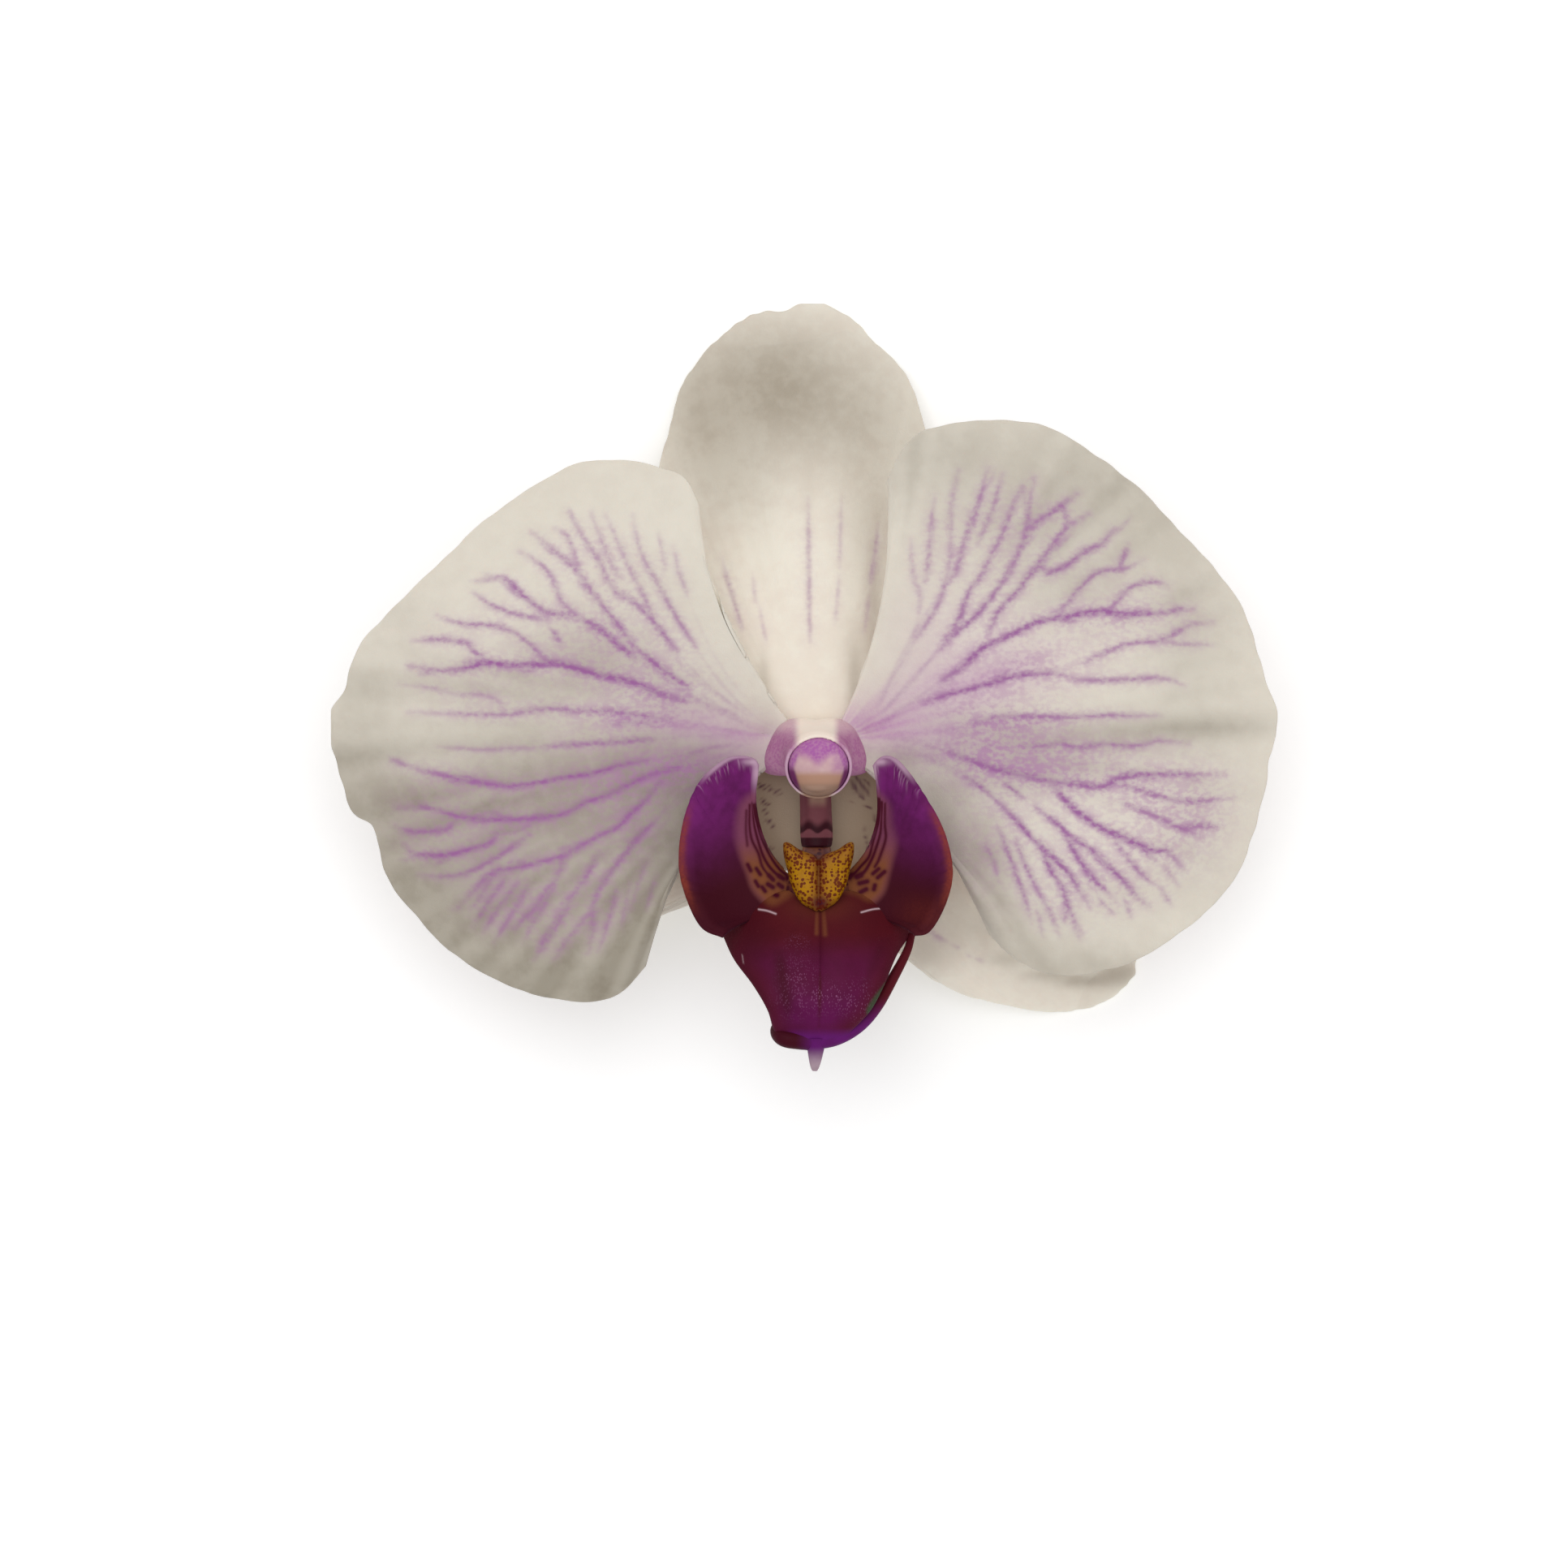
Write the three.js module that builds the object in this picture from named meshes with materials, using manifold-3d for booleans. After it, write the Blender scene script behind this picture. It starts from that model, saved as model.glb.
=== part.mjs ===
// A moth orchid bloom, picked with its own short stalk and lying face up on a table.
// Millimetres, +Z up. +Y points to the top sepal and +X to the viewer's right of the face.
// The shapes are drawn in the bloom's own frame, whose axis of growth stands at x = 0, y = 0 and
// whose table is z = 0. At the end the whole bloom is shifted so that its box is centred on the origin.
import * as THREE from "three";
import { mergeVertices } from "three/addons/utils/BufferGeometryUtils.js";
import Module from "manifold-3d";

const wasm = await Module();
wasm.setup();

// Driving dimensions
const SEPAL_THICKNESS = 0.8;
const PETAL_THICKNESS = 0.8;
const LIP_THICKNESS = 0.9;
const SEPAL_BASE_HEIGHT = 11.7; // the sepals leave between the ovary and the column
const PETAL_BASE_HEIGHT = 13.7; // the petals leave the sides of the column, in front of the sepals
const PETAL_RISE = 1.9; // how far a petal's claw lifts its blade
const PETAL_REACH = 50; // from the claw to the far margin
const PETAL_DOME = 2.1; // how far a petal's middle bulges forward
const PETAL_ROLL = 2.6; // how far its margin rolls back
const PETAL_WAVE = 0.55; // half the height of the wave along its margin
const REST_HEIGHT = SEPAL_THICKNESS / 2; // middle of a blade that lies on the table
const FLAT_BAND = 0.06; // a sepal this close to lying down is flat underneath
const SEAT_GAP = 0.3; // between pieces that touch
const TAPER_AT_MARGIN = 0.78; // share of a blade's thickness left at its margin
const CURL_POWER = 1.7; // how late along its length a sepal bends back
const TIP_PRESS = 1.6; // how far a sepal's curl would reach below the table, which flattens its tip

const COLORS = {
  sepal: 0xe9e1d0,
  petal: 0xe6dccf,
  lip: 0x5d1848,
  callus: 0xc68a1a,
  column: 0xd9b3c4,
  cap: 0xd3a6bd,
  pollen: 0xe0b23a,
  stalk: 0xa9b184,
};

// Small helpers
const vec = (x, y, z = 0) => new THREE.Vector3(x, y, z);
const clamp01 = (t) => Math.min(1, Math.max(0, t));
const mix = (a, b, t) => a + (b - a) * t;
const bell = (t, width) => Math.exp(-((t / width) ** 2));

function smoothstep(low, high, x) {
  const t = clamp01((x - low) / (high - low));
  return t * t * (3 - 2 * t);
}

// Points spaced evenly along a smooth curve through the given points.
function spread(points, count) {
  const curve = new THREE.CatmullRomCurve3(points.map((p) => vec(...p)), false, "catmullrom", 0.5);
  return curve.getSpacedPoints(count);
}

// A blade is drawn as a fan. Each ray leaves the base edge, bends at its control point and ends on the margin.
// Row 0 is the base edge and the last row the margin. height(x, y, s, w) gives the middle of the blade.
function fanRows({ base, bends, margin, rays, rows, height }) {
  const ends = spread(margin, rays);
  const grid = [];
  for (let i = 0; i <= rows; i++) {
    const s = i / rows;
    grid.push(
      ends.map((end, j) => {
        const v = j / rays;
        const root = [mix(base[0][0], base[1][0], v), mix(base[0][1], base[1][1], v)];
        const bend = bendOf(bends, v, root, end);
        const x = (1 - s) ** 2 * root[0] + 2 * s * (1 - s) * bend[0] + s * s * end.x;
        const y = (1 - s) ** 2 * root[1] + 2 * s * (1 - s) * bend[1] + s * s * end.y;
        return vec(x, y, height(x, y, s, 2 * v - 1));
      }),
    );
  }
  return grid;
}

// The side rays bend as drawn, and the rays between them straighten towards the middle of the blade.
function bendOf(bends, v, root, end) {
  const middle = [(root[0] + end.x) / 2, (root[1] + end.y) / 2];
  const low = (1 - v) ** 2;
  const high = v ** 2;
  return [0, 1].map(
    (k) => middle[k] + low * bends[0][k] + high * bends[1][k],
  );
}

function gridNormals(grid) {
  const last = grid.length - 1;
  const side = grid[0].length - 1;
  return grid.map((row, i) =>
    row.map((_, j) => {
      const along = grid[Math.min(i + 1, last)][j].clone().sub(grid[Math.max(i - 1, 0)][j]);
      const across = row[Math.min(j + 1, side)].clone().sub(row[Math.max(j - 1, 0)]);
      const normal = along.cross(across).normalize();
      return normal.z < 0 ? normal.negate() : normal;
    }),
  );
}

// Gives a grid of points its thickness and closes it. Both faces are split into the same triangles.
// A blade that lies on the table is flattened there.
function thicken(grid, thickness, onTable = false) {
  const normals = gridNormals(grid);
  const rows = grid.length;
  const columns = grid[0].length;
  const positions = [];
  for (const side of [1, -1])
    grid.forEach((row, i) =>
      row.forEach((point, j) => {
        const atEdge = i === rows - 1 || j === 0 || j === columns - 1;
        const half = (thickness / 2) * (atEdge ? TAPER_AT_MARGIN : 1);
        const p = point.clone().addScaledVector(normals[i][j], side * half);
        if (onTable && side < 0 && point.z < REST_HEIGHT + FLAT_BAND) p.z = 0;
        positions.push(p.x, p.y, p.z);
      }),
    );
  const index = [];
  const lower = rows * columns;
  const quad = (a, b, c, d) => index.push(a, b, c, a, c, d);
  for (let i = 0; i < rows - 1; i++)
    for (let j = 0; j < columns - 1; j++) {
      const a = i * columns + j;
      const b = a + 1;
      const c = a + columns + 1;
      const d = a + columns;
      quad(a, b, c, d);
      index.push(lower + a, lower + c, lower + b, lower + a, lower + d, lower + c);
    }
  const rim = [];
  for (let j = 0; j < columns; j++) rim.push(j);
  for (let i = 1; i < rows; i++) rim.push(i * columns + columns - 1);
  for (let j = columns - 2; j >= 0; j--) rim.push((rows - 1) * columns + j);
  for (let i = rows - 2; i > 0; i--) rim.push(i * columns);
  rim.forEach((a, k) => {
    const b = rim[(k + 1) % rim.length];
    quad(b, a, lower + a, lower + b);
  });
  return facingOut(positions, index);
}

// A closed body through a stack of rings, each ring a list of points, with a flat fan over each end.
function loft(rings) {
  const sides = rings[0].length;
  const positions = rings.flat().flatMap((p) => [p.x, p.y, p.z]);
  const index = [];
  for (let i = 0; i < rings.length - 1; i++)
    for (let j = 0; j < sides; j++) {
      const a = i * sides + j;
      const b = i * sides + ((j + 1) % sides);
      index.push(a, b, b + sides, a, b + sides, a + sides);
    }
  for (const [ring, turn] of [
    [0, true],
    [rings.length - 1, false],
  ]) {
    const centre = positions.length / 3;
    const middle = rings[ring].reduce((sum, p) => sum.add(p), vec(0, 0)).divideScalar(sides);
    positions.push(middle.x, middle.y, middle.z);
    for (let j = 0; j < sides; j++) {
      const a = ring * sides + j;
      const b = ring * sides + ((j + 1) % sides);
      index.push(centre, turn ? b : a, turn ? a : b);
    }
  }
  return facingOut(positions, index);
}

function facingOut(positions, index) {
  const geometry = new THREE.BufferGeometry();
  geometry.setAttribute("position", new THREE.Float32BufferAttribute(positions, 3));
  geometry.setIndex(index);
  if (volumeOf(geometry) < 0) {
    for (let i = 0; i < index.length; i += 3) [index[i + 1], index[i + 2]] = [index[i + 2], index[i + 1]];
    geometry.setIndex(index);
  }
  return geometry;
}

function volumeOf(geometry) {
  const p = geometry.getAttribute("position");
  const index = geometry.getIndex().array;
  const corner = (k) => vec(p.getX(k), p.getY(k), p.getZ(k));
  let volume = 0;
  for (let i = 0; i < index.length; i += 3)
    volume += corner(index[i]).dot(corner(index[i + 1]).cross(corner(index[i + 2]))) / 6;
  return volume;
}

// A ring of an ellipse or a ribbed round, in the plane across the given direction.
function ringAt(centre, direction, rightRadius, upRadius, sides, ribs = () => 1) {
  const right = vec(1, 0, 0).addScaledVector(direction, -direction.x).normalize();
  const up = direction.clone().cross(right).normalize();
  return Array.from({ length: sides }, (_, k) => {
    const turn = (2 * Math.PI * k) / sides;
    return centre
      .clone()
      .addScaledVector(right, rightRadius * Math.cos(turn) * ribs(turn))
      .addScaledVector(up, upRadius * Math.sin(turn) * ribs(turn));
  });
}

// A tube along a smooth curve. radius(t) gives its radius from start to end.
function tube(points, radius, steps, sides, ribs = () => () => 1, flatness = 1) {
  const curve = new THREE.CatmullRomCurve3(points.map((p) => vec(...p)));
  const frames = curve.computeFrenetFrames(steps, false);
  const rings = [];
  for (let i = 0; i <= steps; i++) {
    const t = i / steps;
    const centre = curve.getPointAt(t);
    const shape = ribs(t);
    rings.push(
      Array.from({ length: sides }, (_, k) => {
        const turn = (2 * Math.PI * k) / sides;
        const r = radius(t) * shape(turn);
        return centre
          .clone()
          .addScaledVector(frames.normals[i], r * Math.cos(turn))
          .addScaledVector(frames.binormals[i], r * flatness * Math.sin(turn));
      }),
    );
  }
  return loft(rings);
}

// An ellipsoid whose third radius lies along the given direction.
function ellipsoid(centre, radii, direction, sides = 16, rings = 10) {
  const geometry = new THREE.SphereGeometry(1, sides, rings);
  geometry.rotateX(Math.PI / 2);
  geometry.scale(...radii);
  const up = vec(0, 1, 0).addScaledVector(direction, -direction.y).normalize();
  const right = up.clone().cross(direction);
  geometry.applyMatrix4(new THREE.Matrix4().makeBasis(right, up, direction));
  geometry.translate(centre.x, centre.y, centre.z);
  return geometry;
}

function solid(geometry) {
  const bare = new THREE.BufferGeometry();
  bare.setAttribute("position", geometry.getAttribute("position"));
  if (geometry.index) bare.setIndex(geometry.index);
  const merged = mergeVertices(bare, 1e-4);
  return new wasm.Manifold(
    new wasm.Mesh({
      numProp: 3,
      vertProperties: new Float32Array(merged.getAttribute("position").array),
      triVerts: new Uint32Array(merged.index.array),
    }),
  );
}

function geometryOf(manifold) {
  const mesh = manifold.getMesh();
  const geometry = new THREE.BufferGeometry();
  geometry.setAttribute("position", new THREE.BufferAttribute(mesh.vertProperties, 3));
  geometry.setIndex(new THREE.BufferAttribute(mesh.triVerts, 1));
  return geometry;
}

function piece(name, geometry, color, roughness = 0.6) {
  const material = new THREE.MeshStandardMaterial({ color, roughness, metalness: 0 });
  const mesh = new THREE.Mesh(geometry, material);
  mesh.name = name;
  return mesh;
}

// Sepals
// A sepal leaves the column level and bends back until its tip lies on the table.
// arch is how far its sides fall below its middle, half way along and 10 mm out.
function sepalHeight(root, tip, arch) {
  const axis = vec(tip[0] - root[0], tip[1] - root[1]);
  const length = axis.length();
  axis.normalize();
  return (x, y) => {
    const along = ((x - root[0]) * axis.x + (y - root[1]) * axis.y) / length;
    const across = (x - root[0]) * -axis.y + (y - root[1]) * axis.x;
    const a = Math.max(0, along);
    const curled = SEPAL_BASE_HEIGHT - (SEPAL_BASE_HEIGHT + TIP_PRESS) * a ** CURL_POWER;
    const arched = curled - arch * (across / 10) ** 2 * 4 * clamp01(a) * clamp01(1 - a);
    return Math.max(REST_HEIGHT, arched);
  };
}

const DORSAL = {
  base: [
    [-2.8, 0.2],
    [2.6, 0.2],
  ],
  bends: [
    [-1.6, -2.6],
    [1.4, -2.6],
  ],
  margin: [
    [-15.2, 21.5],
    [-15.9, 26],
    [-14.8, 30.5],
    [-13.7, 34.6],
    [-11.6, 37.9],
    [-9.2, 40.4],
    [-6.1, 42.4],
    [-3, 42.7],
    [-1.5, 43.4],
    [0.4, 43.5],
    [3.5, 42],
    [6.3, 39.2],
    [9.2, 36.1],
    [10.7, 32],
    [11.9, 27],
    [12.3, 22],
  ],
};

const LATERAL_RIGHT = {
  base: [
    [0.3, -13.2],
    [0.3, -0.9],
  ],
  bends: [
    [-1.4, -0.8],
    [0.5, 1.2],
  ],
  margin: [
    [11.9, -25.2],
    [16, -27],
    [20, -28],
    [23.6, -28.5],
    [28.3, -28],
    [31.3, -26.1],
    [32.6, -24],
    [31.9, -20],
    [29.4, -14.8],
    [25, -9.8],
    [19.6, -6.3],
    [14, -4.4],
  ],
};

const LATERAL_LEFT = {
  base: [
    [-0.3, -0.9],
    [-0.3, -13.2],
  ],
  bends: [
    [-0.5, 1.2],
    [0, -2.6],
  ],
  margin: [
    [-14, -2.6],
    [-20.4, -3.2],
    [-26.6, -5.8],
    [-30.6, -10.2],
    [-32.2, -15],
    [-31.4, -18.6],
    [-28, -21.2],
    [-22.6, -21.4],
    [-17.6, -19.2],
    [-14, -16.8],
    [-10.6, -15.6],
  ],
};

function sepal(shape, rays, rows, height) {
  return thicken(fanRows({ ...shape, rays, rows, height }), SEPAL_THICKNESS, true);
}

// Petals
// A petal rises a little from the column, rolls back at its margin and has a pleat at its outer end.
function petalHeight({ root, side, pleats, tilt }) {
  return (x, y, s) => {
    const dx = (x - root[0]) * side;
    const dy = y - root[1];
    const r = Math.hypot(dx, dy) / PETAL_REACH;
    const angle = Math.atan2(dy, dx);
    const dome = PETAL_DOME * Math.sin(Math.PI * 0.8 * Math.min(r, 1.1));
    const roll = PETAL_ROLL * smoothstep(0.7, 1.05, s) ** 1.3;
    const swell = PETAL_WAVE * Math.sin(5.2 * angle + tilt) * s ** 2;
    const folds = pleats.reduce(
      (sum, [at, size, width]) => sum + size * bell(angle - at, width) * smoothstep(0.45, 1, r),
      0,
    );
    const lift = PETAL_RISE * (1 - Math.exp(-r / 0.1));
    return PETAL_BASE_HEIGHT + lift + dome - roll + swell + folds;
  };
}

const PETAL_LEFT = {
  base: [
    [-3.6, -2.8],
    [-2.8, 1],
  ],
  bends: [
    [-4.2, 4.4],
    [-0.2, -0.9],
  ],
  margin: [
    [-15.6, -19.7],
    [-17.2, -23.8],
    [-20.1, -26.7],
    [-24.2, -27.4],
    [-30.8, -25.9],
    [-36.5, -22.6],
    [-40.6, -18.5],
    [-43.4, -14.6],
    [-44.6, -9.9],
    [-46.9, -8],
    [-48.7, -2.2],
    [-49.2, 1.4],
    [-47.7, 3.9],
    [-46.3, 8.2],
    [-43.1, 11.9],
    [-37.7, 17.2],
    [-32.4, 22],
    [-25, 26.6],
    [-20.1, 27.3],
    [-16.6, 26.3],
    [-14.2, 23.6],
  ],
};

const PETAL_RIGHT = {
  base: [
    [2.6, 1],
    [3.6, -2.8],
  ],
  bends: [
    [2.9, -1.8],
    [3.3, 2],
  ],
  margin: [
    [7.4, 25.4],
    [8.8, 28.3],
    [11.2, 30.4],
    [15.4, 31.2],
    [20.9, 31.2],
    [25, 29.9],
    [31.6, 25.4],
    [35.7, 21.3],
    [40.6, 16],
    [43.5, 11.5],
    [45.5, 4.9],
    [46.7, 1.5],
    [45.8, -3.2],
    [45.2, -7],
    [43.1, -13.5],
    [40.6, -17.2],
    [35.7, -21.3],
    [30.8, -23.8],
    [25, -24.8],
    [20.7, -23.4],
    [17.6, -20.6],
    [15.6, -16],
  ],
};

function petal(shape, height) {
  const blade = thicken(fanRows({ ...shape, rays: 24, rows: 12, height }), PETAL_THICKNESS);
  return geometryOf(solid(blade).subtract(solid(columnTrunk(SEAT_GAP))));
}

// Column
// It grows forward from the middle of the bloom and nods towards the lip.
const COLUMN_AXIS = vec(0.02, -0.42, 0.9).normalize();
const CAP_CENTRE = vec(0.15, -3.5, 21);
const CAP_RADII = [2.5, 2.65, 2];

function alongColumn(distance) {
  return CAP_CENTRE.clone().addScaledVector(COLUMN_AXIS, distance);
}

// The trunk has a winged base and a round hood. With grow, it is that much larger all round.
function columnTrunk(grow = 0) {
  const upright = vec(0, 0, 1);
  const stages = [
    [vec(0, -1.6, 12.4 - grow), 0, 4.1, 2.5],
    [vec(0, -1.7, 13.8), 0, 4.6, 2.7],
    [vec(0, -1.8, 15.4), 0.2, 4.4, 2.7],
    [vec(0.05, -2.1, 17), 0.6, 3.6, 2.7],
    [vec(0.1, -2.6, 18.6), 1, 3.15, 2.8],
    [alongColumn(-1), 1, 3.2, 3.1],
    [alongColumn(0.4), 1, 3.3, 3.3],
  ];
  return loft(
    stages.map(([centre, nod, wide, tall]) => {
      const direction = upright.clone().lerp(COLUMN_AXIS, nod).normalize();
      return ringAt(centre, direction, wide + grow, tall + grow, 20);
    }),
  );
}

function column() {
  const footStages = [
    [vec(0, -2, 13.9), 1.7, 1.4],
    [vec(0, -7, 14), 1.6, 1.4],
    [vec(0.1, -10.6, 14), 1.65, 1.4],
    [vec(0.1, -11.8, 14.2), 1.5, 1.3],
  ];
  const foot = loft(
    footStages.map(([centre, wide, thick]) => ringAt(centre, vec(0, -1, 0), wide, thick, 12)),
  );
  const seat = ellipsoid(CAP_CENTRE, CAP_RADII.map((r) => r + SEAT_GAP), COLUMN_AXIS, 20, 12);
  const stigma = ellipsoid(vec(0.15, -5.7, 18), [1.5, 1.7, 1.9], COLUMN_AXIS, 14, 8);
  return geometryOf(solid(columnTrunk()).add(solid(foot)).subtract(solid(seat)).subtract(solid(stigma)));
}

function antherCap() {
  const dome = solid(ellipsoid(CAP_CENTRE, CAP_RADII, COLUMN_AXIS, 20, 12));
  const beak = solid(ellipsoid(vec(0.15, -5.5, 20.9), [1.3, 0.9, 0.8], COLUMN_AXIS, 12, 8));
  const hollow = solid(ellipsoid(alongColumn(-1.75), [1.75, 1.2, 1.15], COLUMN_AXIS, 14, 8));
  return geometryOf(dome.add(beak).subtract(hollow));
}

function pollinarium() {
  const lobes = [-0.55, 0.55].map((x) =>
    solid(ellipsoid(alongColumn(-1.5).add(vec(x, 0, 0)), [0.72, 0.7, 0.45], COLUMN_AXIS, 10, 6)),
  );
  return geometryOf(lobes[0].add(lobes[1]));
}

// Lip
// Its side lobes stand up like the wings of a bowl, with a U-shaped gap behind them round the column's foot.
const LOBE_LEFT = {
  base: [
    [-3.4, -18.4],
    [-2.1, -14.8],
  ],
  bends: [
    [-1.6, 0.4],
    [-2.4, -2.1],
  ],
  margin: [
    [-9.3, -20.8],
    [-11.5, -19.7],
    [-13.1, -16.4],
    [-13.7, -13.1],
    [-13.2, -9],
    [-11.7, -5.3],
    [-9.2, -3],
    [-7.4, -2.6],
    [-6.3, -3.2],
  ],
};

const LOBE_RIGHT = {
  base: [
    [2.4, -14.8],
    [3.7, -18.4],
  ],
  bends: [
    [2.4, -2.1],
    [1.6, 0.4],
  ],
  margin: [
    [6.3, -3.3],
    [7.2, -2.6],
    [8.4, -3.2],
    [10.4, -5.8],
    [12.7, -9.8],
    [13.7, -13.9],
    [13.1, -17.2],
    [11.5, -20.1],
    [9.9, -20.6],
  ],
};

// The inner side of a lobe lies deep beside the column's foot, and its outer margin stands high.
const LOBE_BASE_HEIGHT = 16.2;
const LOBE_INNER_RISE = 3.4;
const LOBE_OUTER_RISE = 6.4;
const LOBE_HOLLOW = 0.9;
const LOBE_LEAN = 0.6;

function lobeHeight(innerSide) {
  return (x, y, s, w) => {
    const fromInner = (1 - w * innerSide) / 2;
    const rise = mix(LOBE_INNER_RISE, LOBE_OUTER_RISE, smoothstep(0, 0.3, fromInner));
    const hollow = LOBE_HOLLOW * Math.sin(Math.PI * s);
    const lean = LOBE_LEAN * smoothstep(0.85, 1, s);
    return LOBE_BASE_HEIGHT + rise * s ** 1.2 - hollow - lean;
  };
}

const MIDLOBE = {
  base: [
    [-3.6, -16.4],
    [3.9, -16.4],
  ],
  bends: [
    [-1.2, 1.2],
    [1.2, 1.2],
  ],
  margin: [
    [-9.5, -20.3],
    [-8.2, -23.1],
    [-6.2, -25.8],
    [-4.8, -28.2],
    [-4, -30.4],
    [-2, -31.6],
    [0.4, -31.8],
    [2.4, -31.2],
    [4, -29.6],
    [5.1, -27.7],
    [6.6, -25.1],
    [8.3, -22.3],
    [9.9, -20.2],
  ],
};

// The middle lobe stands forward in an arch with a groove down its middle, and dips at the tip.
const MIDLOBE_BASE_HEIGHT = 17;
const MIDLOBE_RISE = 5.4;
const MIDLOBE_DIP = 1.6;
const MIDLOBE_DROOP = 3.6;
const MIDLOBE_GROOVE = 0.5;
const MIDLOBE_CENTRE_X = 0.3;

function midlobeHeight(x, y) {
  const down = (-16.4 - y) / 15.4;
  const rise = MIDLOBE_RISE * Math.sin((Math.PI / 2) * clamp01(down / 0.72));
  const dip = MIDLOBE_DIP * smoothstep(0.72, 1, down);
  const aside = x - MIDLOBE_CENTRE_X;
  const droop = MIDLOBE_DROOP * (aside / 9.8) ** 2;
  const groove = MIDLOBE_GROOVE * bell(aside, 1) * smoothstep(0, 0.1, down) * (1 - smoothstep(0.45, 0.8, down));
  return MIDLOBE_BASE_HEIGHT + rise - dip - droop - groove;
}

const TIP_HEIGHT = 20.4;
const TENDRIL_LEFT = [
  [1, -31.5, TIP_HEIGHT],
  [-2, -31.2, TIP_HEIGHT],
  [-4, -30.6, TIP_HEIGHT - 0.7],
  [-4.2, -29.6, TIP_HEIGHT - 2.2],
  [-3, -28.6, TIP_HEIGHT - 3.4],
  [-1.6, -29, TIP_HEIGHT - 4.4],
];
const TENDRIL_RIGHT = [
  [-1, -31.3, TIP_HEIGHT],
  [1.8, -31, TIP_HEIGHT],
  [4.2, -29.8, TIP_HEIGHT - 0.3],
  [6.1, -27.8, TIP_HEIGHT - 0.9],
  [7.9, -24.8, TIP_HEIGHT - 1.7],
  [9.2, -22.3, TIP_HEIGHT - 2.6],
  [9.7, -20.6, TIP_HEIGHT - 3.3],
];
const NIB = [
  [0, -31, TIP_HEIGHT],
  [0, -32.2, TIP_HEIGHT - 0.1],
  [-0.1, -34.3, TIP_HEIGHT - 0.5],
];

function lip() {
  const sideLobe = (shape, innerSide) =>
    solid(
      thicken(fanRows({ ...shape, rays: 16, rows: 9, height: lobeHeight(innerSide) }), LIP_THICKNESS),
    );
  const midlobe = solid(
    thicken(fanRows({ ...MIDLOBE, rays: 18, rows: 10, height: midlobeHeight }), LIP_THICKNESS),
  );
  const disc = solid(
    loft([
      ringAt(vec(0.2, -16, 14.6), vec(0, 0, 1), 2.6, 2.2, 16),
      ringAt(vec(0.2, -16, 15.6), vec(0, 0, 1), 3.9, 2.8, 16),
      ringAt(vec(0.2, -16, 16.9), vec(0, 0, 1), 4.1, 3, 16),
      ringAt(vec(0.2, -16, 17.5), vec(0, 0, 1), 3.6, 2.5, 16),
    ]),
  );
  const claw = solid(
    loft([
      ringAt(vec(0.1, -12.1, 14.2), vec(0, -1, 0), 1.5, 1.1, 12),
      ringAt(vec(0.15, -13.4, 14.9), vec(0, -1, 0), 1.7, 1.1, 12),
      ringAt(vec(0.2, -15, 15.8), vec(0, -1, 0), 2.2, 1.1, 12),
    ]),
  );
  const left = solid(tube(TENDRIL_LEFT, (t) => mix(0.95, 0.42, t), 12, 8));
  const right = solid(tube(TENDRIL_RIGHT, (t) => mix(0.95, 0.36, t), 14, 8));
  const nib = solid(tube(NIB, (t) => mix(0.95, 0.35, t), 5, 8));
  const grown = [sideLobe(LOBE_LEFT, 1), sideLobe(LOBE_RIGHT, -1), midlobe, disc, claw, left, right, nib];
  return geometryOf(grown.reduce((all, next) => all.add(next)).subtract(callusBody(1.5 * SEAT_GAP)));
}

// Callus
// Two upright yellow plates, each with a horn, meet in a groove over the lip's disc.
const CALLUS_FLOOR = 17.5 + SEAT_GAP;
const CALLUS_PLATE = [
  [0.05, -13.9],
  [0.9, -13.4],
  [2, -12.7],
  [2.9, -11.9],
  [3.5, -11.4],
  [3.6, -12.4],
  [3.3, -14],
  [2.9, -15.6],
  [2.1, -17.1],
  [1, -17.9],
  [0.05, -18],
];

// With grow, the plate is that much larger all round, to cut the room that it stands in.
function callusPlate(side, grow = 0) {
  const heart = vec(side * 1.7, -14.9, CALLUS_FLOOR - grow);
  const outline = CALLUS_PLATE.map(([x, y]) => {
    const p = vec(side * x, y, CALLUS_FLOOR - grow);
    const outward = p.clone().sub(heart).normalize();
    return p.addScaledVector(outward, grow);
  });
  const levels = [
    [0.86, 0],
    [1, 0.5],
    [1, 1.1],
    [0.8, 1.7],
    [0.45, 2.05],
    [0.12, 2.15],
  ];
  return loft(
    levels.map(([size, height]) =>
      outline.map((p) => {
        const hornward = smoothstep(-15, -11.4, p.y);
        const rise = height === 0 ? 0 : height * (1 + 0.45 * hornward) + 2 * grow;
        return heart.clone().lerp(p, size).add(vec(0, 0, rise));
      }),
    ),
  );
}

function callusBody(grow = 0) {
  const plates = [-1, 1].map((side) => {
    const plate = callusPlate(side, grow);
    plate.translate(0.3 - side * 0.15, 0, 0);
    return solid(plate);
  });
  return plates[0].add(plates[1]);
}

// Pedicel
// The ribbed ovary carries the bloom, twists half a turn and passes into a round stalk with a cut end.
const STALK_PATH = [
  [0, -0.8, 10.8],
  [0, -0.8, 9.2],
  [-0.2, 0.1, 6.8],
  [-0.9, 2.8, 4.4],
  [-2.1, 6.8, 2.8],
  [-4.1, 12, 2.05],
  [-6.6, 18.6, 1.75],
  [-9.2, 25.2, 1.7],
];

function pedicel() {
  const radius = (t) => mix(1.95, 1.35, smoothstep(0.25, 0.7, t)) + 0.8 * bell(t, 0.06);
  const ribs = (t) => (turn) => 1 + 0.09 * (1 - smoothstep(0.45, 0.7, t)) * Math.cos(3 * (turn + 3 * t));
  return tube(STALK_PATH, radius, 26, 12, ribs);
}

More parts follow.
